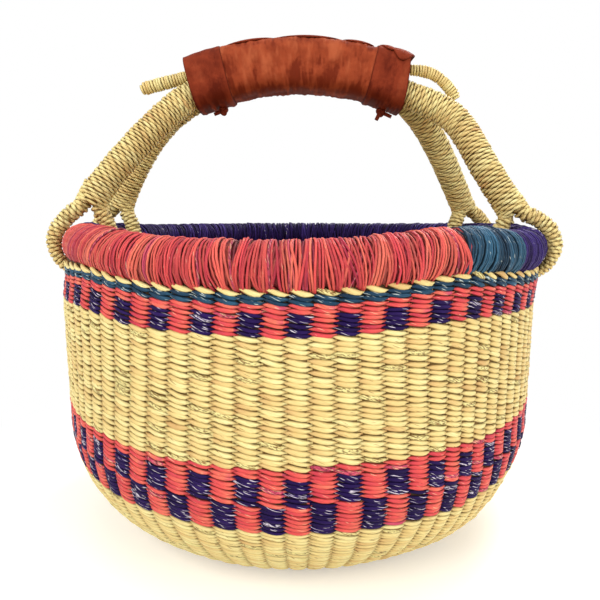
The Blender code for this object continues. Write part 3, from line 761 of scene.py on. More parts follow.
@dataclass
class WovenWall:
    """Base, wall and cords: stakes, and pairs of weft strands that rise in one spiral.

    The wall is a profile turned round the basket.  A reach is a distance along that
    profile from the edge of the base, and is negative on the base.
    """

    wall_radius: float = 0.1806
    thickness: float = 0.0050
    neck_depth: float = 0.0014
    base_radius: float = 0.1020
    base_rings: tuple[float, float] = (0.058, 0.029)
    eye_radius: float = 0.0014
    corner_height: float = 0.0825
    corner_power: float = 1.71
    lower_band_bottom: float = 0.0636
    lower_band_top: float = 0.1021
    upper_band_bottom: float = 0.1754
    upper_band_top: float = 0.1928
    teal_cord_top: float = 0.1978
    natural_cord_top: float = 0.2002
    stake_top: float = 0.2060
    dip_depth: float = 0.0064
    dip_spread: float = math.radians(5.2)
    dip_flatness: float = 1.25
    back_stake: float = 44.5
    check_start_stake: float = 8.5
    row_pitch: float = 3.13 * MM
    base_pitch: float = 3.6 * MM
    lean: float = -0.0020
    wander: float = 0.30 * MM
    wander_length: float = 18.0 * MM
    wander_width: float = 0.5
    calm_rows: float = 10.0
    base_swing: float = 0.74
    straw_stakes: int = 37
    straw_tone: float = 0.24
    stitch_tone: float = 0.13
    stitch_shade_tone: float = 0.18
    frayed_share: float = 0.06
    crossing_shade: float = 0.28
    stake_half_wide: float = 6.8 * MM
    stake_half_thick: float = 1.15 * MM
    stake_share: float = 0.53
    corner_rise: tuple[float, float] = (0.0, 0.020)
    corner_fall: tuple[float, float] = (0.035, 0.080)
    bulges: tuple[Pull, ...] = (
        Pull(-55.0, 30.0, 3.0 * MM), Pull(42.0, 14.0, 3.5 * MM), Pull(76.0, 14.0, -2.5 * MM),
    )
    low_strays: tuple[Pull, ...] = (Pull(-40.0, 26.0, math.radians(-4.2)), Pull(20.0, 14.0, math.radians(2.2)))
    high_strays: tuple[Pull, ...] = (Pull(-52.0, 26.0, math.radians(-2.6)), Pull(28.0, 10.0, math.radians(1.2)))
    profile: dict[str, Array] = field(init=False)

    def __post_init__(self) -> None:
        """Work the middle line of the wall out: a flat base, a superellipse and a straight wall."""
        turn = np.linspace(0.0, 0.5 * math.pi, 600)
        bulge = 2.0 / self.corner_power
        corner_radius = self.base_radius + (self.wall_radius - self.base_radius) * np.sin(turn) ** bulge
        corner_height = self.corner_height * (1.0 - np.cos(turn) ** bulge)
        wall_height = np.linspace(self.corner_height, RIM_HEIGHT, 200)[1:]
        neck = np.clip((wall_height - self.upper_band_bottom) / (RIM_HEIGHT - self.upper_band_bottom), 0.0, None)
        floor_radius = np.linspace(0.0, self.base_radius, 200)[:-1]
        radius = np.concatenate((floor_radius, corner_radius, self.wall_radius - self.neck_depth * neck**2))
        height = np.concatenate((np.zeros_like(floor_radius), corner_height, wall_height))
        rise = unit(np.stack((np.gradient(radius), np.gradient(height)), axis=-1))
        inset = 0.5 * self.thickness
        radius = radius - inset * rise[:, 1]
        height = height + inset * rise[:, 0]
        reach = travelled(np.stack((radius, height), axis=-1))
        reach -= reach[len(floor_radius)]
        self.profile = {"reach": reach, "radius": radius, "height": height, "out": rise[:, 1], "down": -rise[:, 0]}

    def on_profile(self, reach: Array, name: str) -> Array:
        """Return a named value of the middle line at reaches along it."""
        return np.interp(reach, self.profile["reach"], self.profile[name])

    def reach_at(self, height: float) -> float:
        """Return the reach at which the wall passes a height."""
        wall = self.profile["reach"] > 0.0
        return float(np.interp(height, self.profile["height"][wall], self.profile["reach"][wall]))

    def upper_share(self, height: Array) -> Array:
        """Return 0 below the upper band, 1 above it, and a straight rise between."""
        return np.clip((height - self.upper_band_bottom) / (self.upper_band_top - self.upper_band_bottom), 0.0, 1.0)

    def dip(self, azimuth: Array, height: Array) -> Array:
        """Return how far the top rows are pushed down, most under each foot of the handle."""
        share = np.zeros_like(azimuth)
        for foot in FEET:
            away = nearest_turn(azimuth - foot.azimuth)
            share = share + self.dip_flatness * np.exp(-((away / self.dip_spread) ** 2))
        return self.dip_depth * self.upper_share(height) * np.minimum(share, 1.0)

    def stray(self, azimuth: Array, height: Array) -> Array:
        """Return how far the stakes stray sideways, as an angle: they are spread by hand, not by a rule."""
        high = eased(height, self.lower_band_bottom, self.upper_band_bottom)
        return high * pulled(self.high_strays, azimuth) + (1.0 - high) * pulled(self.low_strays, azimuth)

    def placed(self, azimuth: Array, reach: Array, swing: Array) -> tuple[Array, Array]:
        """Return points off the middle line, and which way is out there.

        The wall leans a little to one side between the base and the rim, its lower corner
        bulges here and there, and its sides are pulled up, as woven by hand.

        Args:
            azimuth: azimuth of each point.
            reach: reach of each point.
            swing: distance out from the middle line.

        Returns:
            Points, and unit vectors outward.
        """
        out, down = self.on_profile(reach, "out"), self.on_profile(reach, "down")
        radius = self.on_profile(reach, "radius") + out * swing
        height = self.on_profile(reach, "height") + down * swing
        corner = eased(height, *self.corner_rise) * (1.0 - eased(height, *self.corner_fall))
        radius = radius + corner * pulled(self.bulges, azimuth)
        azimuth = azimuth + self.stray(azimuth, height)
        points = around(azimuth, radius, height - self.dip(azimuth, height) + SADDLE.wall(azimuth, height))
        points[..., 0] += self.lean * (1.0 - self.upper_share(height))
        return points, around(azimuth, out, down)

    def strand(self, zone: Zone, first_row: float, last_row: float, parity: int, seed: int) -> Skin:
        """Return one strand of a pair, which winds through rows of a zone as one spiral.

        With s the place in stakes and c = cos(pi (s - parity)), the strand swings out by
        A |c|^0.6 with the sign of c plus P (1 - |c|), and drops by B sin(pi (s - parity))
        plus C cos(2 pi (s - parity)).  So the pair forms a twist with a stake in each half
        turn, both strands stand out where they cross, and each stitch falls steeply and
        then levels out.  It is highest in section over a stake and pinched where it dives.

        Args:
            zone: the stretch of weave.
            first_row: row at which the strand starts.
            last_row: row at which it ends.
            parity: 0 if it passes outside the even stakes, 1 for the odd ones.
            seed: picks the hand's unevenness.

        Returns:
            The strand's skin.
        """
        rng = np.random.default_rng(seed)
        weft = zone.weft
        per_row = zone.stakes * zone.steps
        row = (first_row + np.arange(round((last_row - first_row) * per_row) + 1) / per_row)[None]
        stake = zone.jog_stake - zone.stakes * row
        phase = math.pi * (stake - parity)
        azimuth = stake * FULL_TURN / zone.stakes
        stitch = np.floor(stake - parity + 0.5).astype(int)
        stitch -= stitch.min()
        stitches = stitch.max() + 1
        uneven = rng.normal(size=(5, stitches))[:, stitch]
        over, facing = np.abs(np.cos(phase)), np.sign(np.cos(phase))
        full = over**weft.fullness
        reach = zone.start + (zone.end - zone.start) / zone.rows * row
        spacing = self.on_profile(reach, "radius") * FULL_TURN / zone.stakes
        calm = np.clip(reach / (self.calm_rows * self.row_pitch), 0.0, 1.0)
        wander = self.wander * calm * ripple(
            17, (np.sin(azimuth), self.wander_width), (np.cos(azimuth), self.wander_width), (reach, self.wander_length)
        )
        drop = weft.cross * np.sin(phase) * (1.0 + weft.uneven_cross * uneven[0]) + weft.bow * np.cos(2.0 * phase)
        lift = weft.uneven_lift * over * uneven[1] - drop
        settle = self.base_swing + (1.0 - self.base_swing) * calm
        swing = weft.swing * settle * facing * full + weft.puff * (1.0 - over) + weft.uneven_swing * over * uneven[2]
        path, outward = self.placed(azimuth, reach + wander + lift, swing)
        half_high = weft.half_high * (weft.pinch + (1.0 - weft.pinch) * full) * (1.0 + weft.uneven_height * uneven[3])
        straw = (stitch + int(rng.integers(self.straw_stakes))) // self.straw_stakes
        straw_tone = rng.random(straw.max() + 1)[straw]
        tone = 0.5 + self.straw_tone * (straw_tone - 0.5) + self.stitch_tone * uneven[4]
        # Painted light and shade: one end of each stitch is made paler and the other darker, as the light falls across
        # it.
        tone = tone + self.stitch_shade_tone * np.sin(phase) * facing
        tone = frayed(tone, rng.random(stitches)[stitch] < self.frayed_share)
        crowding = np.minimum(1.0, spacing / (3.0 * weft.half_high))
        return laid_straw(
            path, outward, weft.half_thick, half_high, stake * spacing.mean() / MM, tone,
            (weft.shade, weft.shade_power), self.crossing_shade * crowding * (1.0 - over) ** 3,
        )

    def zones(self) -> dict[str, Zone]:
        """Return the zones of weave above the base, bottom to top."""
        edges = [0.0, *(self.reach_at(height) for height in (
            self.lower_band_bottom, self.lower_band_top, self.upper_band_bottom,
            self.upper_band_top, self.teal_cord_top, self.natural_cord_top,
        ))]
        dyed = Weft(cross=0.80 * MM, bow=0.22 * MM, half_high=1.60 * MM, half_thick=0.90 * MM, shade=0.70)
        fine = replace(dyed, cross=0.76 * MM, bow=0.16 * MM, half_high=1.44 * MM)
        cord = Weft(cross=1.00 * MM, bow=0.20 * MM, half_high=1.56 * MM, swing=2.0 * MM, pinch=0.40, shade=0.80)
        top = Weft(
            cross=1.50 * MM, bow=0.20 * MM, half_high=1.90 * MM, half_thick=1.1 * MM, swing=2.2 * MM, pinch=0.16
        )
        front, back = Zone.jog_stake, self.back_stake
        table = (
            ("lower_wall", round(edges[1] / self.row_pitch), Weft(), front), ("lower_band", 15, dyed, front),
            ("middle_wall", 23.5, Weft(), front), ("upper_band", 7, fine, back),
            ("teal_cord", 2, cord, back), ("natural_cord", 1, top, back),
        )
        return {
            name: Zone(name, start, end, rows, weft, jog_stake=jog)
            for (name, rows, weft, jog), start, end in zip(table, edges, edges[1:])
        }

    def add_plain(self, zone: Zone, finish: StrawFinish, node: str, parts: int = 1, short: float = 0.0) -> None:
        """Add a zone of one colour: each strand of the pair is a piece, cut in parts if it is long.

        Args:
            zone: the zone.
            finish: its straw.
            node: the solid that it stands for.
            parts: how many pieces each strand is cut into.
            short: rows by which it stops early, where the next colour takes over.
        """
        rows = zone.rows - short
        for parity, strand in enumerate(("even", "odd")):
            for part in range(parts):
                first, last = rows * part / parts, rows * (part + 1) / parts
                name = f"{zone.name}_{strand}_weft_{part + 1}"
                add_piece(name, [self.strand(zone, first, last, parity, hash_seed(name))], finish, (node,))

    def add_checks(self, zone: Zone, checks: tuple[tuple[float, float, int], ...], node: str) -> None:
        """Add a checked band: pairs of one red and one purple strand, with plain red rows on top.

        Args:
            zone: the zone.
            checks: first row, last row and the parity of the purple strand, for each row of checks.
            node: the solid that the band stands for.
        """
        red, purple = [], []
        for first, last, parity in checks:
            purple.append(self.strand(zone, first, last, parity, 50 + round(last)))
            red.append(self.strand(zone, first, last, 1 - parity, 70 + round(last)))
        plain_from = checks[-1][1]
        red += [
            self.strand(zone, plain_from, zone.rows, parity, 90 + parity + round(zone.rows)) for parity in (0, 1)
        ]
        add_piece(f"{zone.name}_red_weft", red, RED, (node,))
        add_piece(f"{zone.name}_purple_weft", purple, PURPLE, (node,))

    def add_base(self) -> None:
        """Add the flat base, with fewer stakes in its inner rings."""
        weft = Weft(swing=1.5 * MM, cross=0.7 * MM, half_high=1.95 * MM, half_thick=0.85 * MM)
        edges = (self.base_radius, *self.base_rings, self.eye_radius)
        for name, outer, inner, stakes in zip(
            ("outer", "middle", "inner"), edges, edges[1:], (STAKES, STAKES // 2, STAKES // 4)
        ):
            rows = max(round((outer - inner) / self.base_pitch), 1)
            zone = Zone("base", inner - self.base_radius, outer - self.base_radius, rows, weft, stakes, steps=4)
            ring = [self.strand(zone, 0, zone.rows, parity, stakes + parity) for parity in (0, 1)]
            add_piece(f"base_{name}_weft", ring, NATURAL, ("base_weave",))

    def add_stakes(self) -> None:
        """Add the upright stakes: flat bundles inside the weave, from the base to the rim.

        They are painted in deep shade behind dyed weft, so that they don't show through it, and in half shade
        elsewhere.
        """
        azimuth = (np.arange(STAKES) * FULL_TURN / STAKES)[:, None]
        reach = np.linspace(0.0, self.reach_at(self.stake_top), 70)[None]
        azimuth, reach = np.broadcast_arrays(azimuth, reach)
        path, outward = self.placed(azimuth, reach, np.zeros_like(reach))
        spacing = self.on_profile(reach, "radius") * FULL_TURN / STAKES
        half_wide = np.minimum(self.stake_half_wide, self.stake_share * spacing)
        height = self.on_profile(reach, "height")
        in_lower_band = (height > self.lower_band_bottom) & (height < self.lower_band_top)
        # Painted shade: deepest behind the dyed bands, half elsewhere.
        dark = np.where(in_lower_band | (height > self.upper_band_bottom), DEEPEST_SHADE, 0.5)
        skin = laid_straw(
            path, outward, self.stake_half_thick, half_wide, reach / MM, np.full(reach.shape, 0.5), (0.0, 1.0), dark
        )
        add_piece("wall_stakes", [skin], SHADED_STRAW)

    def build(self) -> None:
        """Add the base, the stakes and every zone of weave."""
        self.add_base()
        self.add_stakes()
        zones = self.zones()
        early = (self.check_start_stake - zones["lower_band"].jog_stake) / STAKES
        self.add_plain(zones["lower_wall"], NATURAL, "lower_wall_weave", parts=2, short=early)
        self.add_checks(zones["lower_band"], ((-early, 7, 1), (7, 13, 0)), "lower_check_band")
        self.add_plain(zones["middle_wall"], NATURAL, "middle_wall_weave")
        self.add_checks(zones["upper_band"], ((0, 5, 0),), "upper_check_band")
        self.add_plain(zones["teal_cord"], TEAL, "teal_cord")
        self.add_plain(zones["natural_cord"], NATURAL, "natural_top_cord")


def hash_seed(name: str) -> int:
    """Return a seed that is the same in each run for a name."""
    return sum((place + 1) * ord(letter) for place, letter in enumerate(name))


@dataclass
class StuffedRim:
    """Rim tube: strands wound side by side, drawn together where they pass between the stakes."""

    turns: int = 650
    under_turns: int = 640
    top_steps: int = 18
    under_steps: int = 11
    under_depth: float = 0.70 * MM
    half_wide: float = 0.86 * MM
    half_thick: float = 0.86 * MM
    set_in: float = 0.25 * MM
    red_start: float = math.radians(-80.0)
    red_end: float = math.radians(29.8)
    teal_end: float = math.radians(47.0)
    swell: Pull = Pull(40.0, 22.0, 0.6 * MM)
    droop: Pull = Pull(-5.0, 42.0, 2.6 * MM)
    slant: Pull = Pull(-56.0, 20.0, math.radians(4.2))
    strays: tuple[float, ...] = (0.40, 0.64, 0.34, 0.24)
    drift: float = math.radians(0.55)
    drift_length: float = 0.30
    gather_power: float = 2.5
    loosest: float = 0.05
    tightness_range: float = 0.28
    notches: tuple[int, ...] = (-5, -2)
    notch_tightness: float = 0.85
    ride: float = 0.50 * MM
    ride_tilt: float = 0.28 * MM
    uneven_width: float = 0.16
    tone: float = 0.54
    turn_tone: float = 0.28
    patch_tone: float = 0.12
    patch_turns: float = 30.0
    frayed_share: float = 0.03
    # Painted shade of the wrap: at the strands' edges, less on strands that ride high, more on the lower layer.
    edge: tuple[float, float] = (1.3, 2.3)
    sunk_shade: float = 0.12
    ride_shade: float = 0.55 / MM
    depth_shade: float = 0.60 / MM
    lining_lift: float = -2.3 * MM
    lining_step: float = 1.0 / 40.0
    core_lift: float = -3.2 * MM
    core_groove: float = 0.22 * MM
    core_straws: int = 10
    core_twist: int = 3

    def surface(self, azimuth: Array, lean: Array, lift: Array) -> Array:
        """Return points over the rim's surface.

        The section is a circle that hangs a little low at the front, where the wrap is slack.

        Args:
            azimuth: azimuth round the basket.
            lean: angle round the section, from level outward to straight up.
            lift: height over the surface.

        Returns:
            The points.
        """
        slack = self.swell.at(azimuth) + self.droop.at(azimuth) * np.clip(-np.sin(lean), 0.0, 1.0)
        reach = RIM_TUBE_RADIUS + slack + lift
        level = RIM_HEIGHT + SADDLE.rim(azimuth)
        radius = RIM_RADIUS + SADDLE.shift(azimuth)
        return around(azimuth, radius + reach * np.cos(lean), level + reach * np.sin(lean))

    def gathered(self, azimuth: Array, lean: Array) -> Array:
        """Return azimuths drawn towards the nearest gap between stakes, under the rim, by amounts that vary."""
        tightness = self.loosest + self.tightness_range * np.random.default_rng(5).random(STAKES)
        tightness[list(self.notches)] = self.notch_tightness
        stake = np.floor(azimuth * STAKES / FULL_TURN)
        gap = (stake + 0.5) * FULL_TURN / STAKES
        under = np.clip(-np.sin(lean), 0.0, 1.0) ** self.gather_power
        return azimuth + (gap - azimuth) * under * tightness[stake.astype(int) % STAKES]

    def wrap(self, start: float, end: float, depth: float, turns: int, steps_per_turn: int, seed: int) -> Skin:
        """Return the strand that winds round the rim between two azimuths.

        Its turn angle runs round the tube.  Each turn leans, crosses its neighbours and
        rides over them by random amounts that change smoothly from turn to turn.

        Args:
            start: first azimuth.
            end: last azimuth.
            depth: how far this layer lies under the surface.
            turns: how many turns go round the whole rim.
            steps_per_turn: points in each turn.
            seed: picks the hand's unevenness.

        Returns:
            The strand's skin.
        """
        rng = np.random.default_rng(seed)
        pitch = FULL_TURN / turns
        count = round((end - start) / pitch)
        turn = (np.arange(count * steps_per_turn + 1) / steps_per_turn)[None]
        lean = math.pi - FULL_TURN * turn
        knots = np.arange(count + 2)
        *amounts, rides, tilts, widths, tones, last = (
            np.interp(turn, knots, values) for values in rng.normal(size=(8, count + 2))
        )
        waves = (np.cos(lean), np.sin(lean), np.sin(2.0 * lean), np.cos(3.0 * lean))
        shift = sum(size * amount * wave for size, amount, wave in zip(self.strays, (*amounts, last), waves))
        azimuth = start + (end - start) * turn / count + pitch * shift
        drift = self.slant.at(azimuth) + self.drift * ripple(seed, (azimuth, self.drift_length))
        azimuth = self.gathered(azimuth + drift * np.sin(lean), lean)
        ride = np.abs(rides) * self.ride + self.ride_tilt * tilts * np.sin(lean)
        ray = around(azimuth, np.cos(lean), np.sin(lean))
        path = self.surface(azimuth, lean, ride - self.half_thick - self.set_in - depth)
        half_wide = self.half_wide * (1.0 + self.uneven_width * widths)
        tone = self.tone + self.turn_tone * tones + self.patch_tone * ripple(seed, (turn, self.patch_turns))
        tone = frayed(tone, rng.random(count + 1)[np.floor(turn).astype(int)] < self.frayed_share)
        # Painted shade: lighter where a strand rides high, deeper on the lower layer.
        sunk_shade = self.sunk_shade - self.ride_shade * ride + self.depth_shade * depth
        along_mm = turn * FULL_TURN * RIM_TUBE_RADIUS / MM
        return laid_straw(path, ray, self.half_thick, half_wide, along_mm, tone, self.edge, sunk_shade)

    def lining(self, start: float, end: float) -> Skin:
        """Return the first layer of the wrap, painted in deep shade, which shows dark between the strands over it."""
        azimuth = np.linspace(start, end, max(round((end - start) / self.lining_step), 12))
        lean = -np.arange(24) * FULL_TURN / 24
        azimuth, lean = np.meshgrid(azimuth, lean, indexing="ij")
        run = run_field(lean * RIM_TUBE_RADIUS / MM, azimuth * RIM_RADIUS / MM, 0.3)
        # Painted shade of 0.8 all over the lining.
        return Skin(self.surface(azimuth, lean, self.lining_lift)[None], run[None], 0.8)

    def core(self) -> Skin:
        """Return the bundle inside the wrap: a ring of straws with shallow grooves, in painted shade."""
        azimuth = np.arange(264) * FULL_TURN / 264
        lean = np.arange(32) * FULL_TURN / 32
        azimuth, lean = np.meshgrid(azimuth, lean, indexing="ij")
        groove = self.core_groove * np.cos(self.core_straws * lean + self.core_twist * azimuth)
        points = self.surface(azimuth, lean, self.core_lift + groove)
        run = run_field(azimuth * RIM_RADIUS / MM, lean * RIM_TUBE_RADIUS / MM, 0.5)
        # Painted shade of 0.35 all over the core.
        return Skin(points[None, :, ::-1], run[None, :, ::-1], 0.35, looped=True)

    def build(self) -> None:
        """Add the core and the three dyed lengths of wrap."""
        add_piece("rim_core_straws", [self.core()], SHADED_STRAW, ("rim_core_bundle",))
        lengths = (
            ("red", self.red_start, self.red_end, RED_WOUND),
            ("teal", self.red_end, self.teal_end, TEAL_WOUND),
            ("purple", self.teal_end, self.red_start + FULL_TURN, PURPLE_WOUND),
        )
        for seed, (dye, start, end, finish) in enumerate(lengths, start=21):
            layers = [
                self.wrap(start, end, 0.0, self.turns, self.top_steps, seed),
                self.wrap(start, end, self.under_depth, self.under_turns, self.under_steps, seed + 10),
                self.lining(start, end),
            ]
            add_piece(f"rim_strands_{dye}", layers, finish, (f"rim_wrap_{dye}",))


@dataclass
class Route:
    """Course of a bundle: its middle line, two ways across it, and half its size each way."""

    points: Array
    across: Array
    half_across: Array
    half_beside: Array
    reach: Array = field(init=False)
    table: Array = field(init=False)

    def __post_init__(self) -> None:
        """Measure the course and square the ways across to it."""
        self.reach = travelled(self.points)
        tangent = unit(np.gradient(self.points, axis=0))
        across = np.broadcast_to(self.across, self.points.shape)
        across = unit(across - tangent * np.sum(across * tangent, axis=1, keepdims=True))
        sizes = np.stack((self.half_across, self.half_beside), axis=1)
        self.table = np.concatenate((self.points, across, np.cross(tangent, across), sizes), axis=1)

    @property
    def length(self) -> float:
        """Length of the course."""
        return float(self.reach[-1])

    @property
    def girth_mm(self) -> float:
        """Mean distance round the bundle, in millimetres."""
        return FULL_TURN * float(self.half_across.mean()) / MM

    def surface(self, reach: Array, turn: Array, lift: Array) -> tuple[Array, Array]:
        """Return points over the bundle's surface, and which way is out there.

        Args:
            reach: distance along the course.
            turn: angle round the bundle, from its first way across to its second.
            lift: height over the surface.

        Returns:
            Points and unit vectors outward.
        """
        reach, turn, lift = np.broadcast_arrays(reach, turn, lift)
        row = np.stack([np.interp(reach, self.reach, column) for column in self.table.T], axis=-1)
        middle, across, beside = row[..., 0:3], row[..., 3:6], row[..., 6:9]
        cosine, sine = np.cos(turn)[..., None], np.sin(turn)[..., None]
        half_across, half_beside = row[..., 9:10], row[..., 10:11]
        outward = unit(cosine / half_across * across + sine / half_beside * beside)
        points = middle + half_across * cosine * across + half_beside * sine * beside + lift[..., None] * outward
        return points, outward


def untwisted(points: Array, first: Array) -> Array:
    """Return a way across a course at each of its points, carried along it without twist."""
    tangent = unit(np.gradient(points, axis=0))
    carried = [first - tangent[0] * (first @ tangent[0])]
    for ahead in tangent[1:]:
        carried.append(unit(carried[-1] - ahead * (carried[-1] @ ahead)))
    return np.array(carried)


@dataclass(frozen=True)
class Twining:
    """Sizes of the short stitches that twining shows on a bundle, and how uneven the hand leaves them."""

    pitch: float = 2.40 * MM
    stakes: float = 7.5
    half_thick: float = 0.90 * MM
    half_high: float = 1.24 * MM
    cross: float = 0.40 * MM
    dive: float = 0.85 * MM
    pinch: float = 0.32
    half_span: float = 0.70
    # Painted shade where a stitch dives under the next one.
    painted_shade: float = 0.62
    steps: int = 7
    uneven_cross: float = 0.2
    uneven_reach: float = 0.12 * MM
    uneven_lift: float = 0.16 * MM
    uneven_height: float = 0.10
    straw_stitches: int = 40
    straw_tone: float = 0.28
    stitch_tone: float = 0.14
    frayed_share: float = 0.02
    edge: tuple[float, float] = (0.75, 5.0)


def twined(route: Route, first: float, last: float, twining: Twining, seed: int) -> Skin:
    """Return the stitches of a twined wrap, laid round a bundle in a spiral.

    Each stitch is a leaf-shaped tube over one stake.  With s from -1 to 1 along it, it
    rises by B sin(pi s / 2) along the bundle and sinks by D sin(pi s / 2)^4.

    Args:
        route: the bundle.
        first: reach of the first stitch.
        last: reach of the last stitch.
        twining: sizes of the stitches.
        seed: picks the hand's unevenness.

    Returns:
        The skin of all the stitches.
    """
    rng = np.random.default_rng(seed)
    count = int((last - first) / twining.pitch * twining.stakes)
    number = np.arange(count)[:, None]
    place = np.linspace(-1.0, 1.0, twining.steps)[None, :]
    uneven = rng.normal(size=(6, count, 1))
    turn = (number + twining.half_span * place) / twining.stakes
    bend = np.sin(0.5 * math.pi * place)
    reach = first + twining.pitch * turn
    reach = reach - twining.cross * bend * (1.0 + twining.uneven_cross * uneven[0]) + twining.uneven_reach * uneven[1]
    lift = -twining.half_thick - twining.dive * bend**4 + twining.uneven_lift * uneven[2]
    path, outward = route.surface(reach, FULL_TURN * turn, lift)
    open_share = 1.0 - bend**4
    half_high = twining.half_high * (twining.pinch + (1.0 - twining.pinch) * open_share)
    half_high = half_high * (1.0 + twining.uneven_height * uneven[3])
    straw_tone = rng.random(count // twining.straw_stitches + 1)[number // twining.straw_stitches]
    tone = 0.5 + twining.straw_tone * (straw_tone - 0.5) + twining.stitch_tone * uneven[4]
    tone = frayed(tone, rng.random((count, 1)) < twining.frayed_share)
    # Painted shade: darker at the edges of each stitch and where it dives.
    return laid_straw(
        path, outward, twining.half_thick, half_high, turn * route.girth_mm, tone,
        twining.edge, twining.painted_shade * (1.0 - open_share),
    )


def bundle(route: Route, first: float, last: float, lift: float, lobes: int) -> Skin:
    """Return the lengthwise straws under a wrap, as a tube with one lobe for each, in painted shade.

    Args:
        route: the bundle's course.
        first: reach at which the tube starts.
        last: reach at which it ends.
        lift: height over the wrap's outer surface.
        lobes: how many straws show.

    Returns:
        The tube's skin.
    """
    # The shade of 0.3 is painted shade under the wrap.
    step, half_groove, tone, shade = 2.5 * MM, 0.45 * MM, 0.4, 0.3
    reach = np.linspace(first, last, max(int((last - first) / step), 4))[:, None]
    share = (np.arange(4 * lobes) / (4 * lobes))[None, :]
    ridge = lift + half_groove * (np.cos(lobes * FULL_TURN * share) - 1.0)
    points, _ = route.surface(reach, FULL_TURN * share, ridge)
    return Skin(points[None], run_field(reach / MM, share * route.girth_mm, tone)[None], shade)


@dataclass
class GripArc:
    """Arc that the grip follows: a circle over the basket, in the plane of both arches' middle."""

    radius: float = 0.2320
    crown_height: float = 0.3486
    offset: float = -0.0012
    left_angle: float = math.radians(-21.0)
    right_angle: float = math.radians(20.3)
    half_width: float = 0.0247
    half_height: float = 0.0190
    section_power: float = 3.4
    arch_radius: float = 0.0100
    arch_drop: float = 0.0067
    clearance: float = 0.0003
    left_tilt: float = math.radians(0.6)
    right_tilt: float = math.radians(-1.2)

    @property
    def apart(self) -> float:
        """Distance from the plane in the middle of the grip to the middle of each arch."""
        return self.arch_radius + self.clearance

    def end_angle(self, side: int) -> float:
        """Return the angle of the grip's left end for a side of -1, and of its right end for 1."""
        return self.left_angle if side < 0 else self.right_angle

    def point(self, angle: Array, lift: Array, across: Array) -> Array:
        """Return points at angles of the arc, lifts from its axis and places across it."""
        angle, lift, across = np.broadcast_arrays(angle, lift, across)
        reach = self.radius + lift
        height = self.crown_height - self.radius + reach * np.cos(angle)
        return np.stack((self.offset + reach * np.sin(angle), across, height), axis=-1)

    def section(self, turn: Array) -> tuple[Array, Array]:
        """Return the rounded-square section's place across and lift at angles round it.

        The formula is a superellipse: |cos|^p + |sin|^p scaled to one.
        """
        power = self.section_power
        size = (np.abs(np.cos(turn)) ** power + np.abs(np.sin(turn)) ** power) ** (-1.0 / power)
        return self.half_width * size * np.cos(turn), self.half_height * size * np.sin(turn)


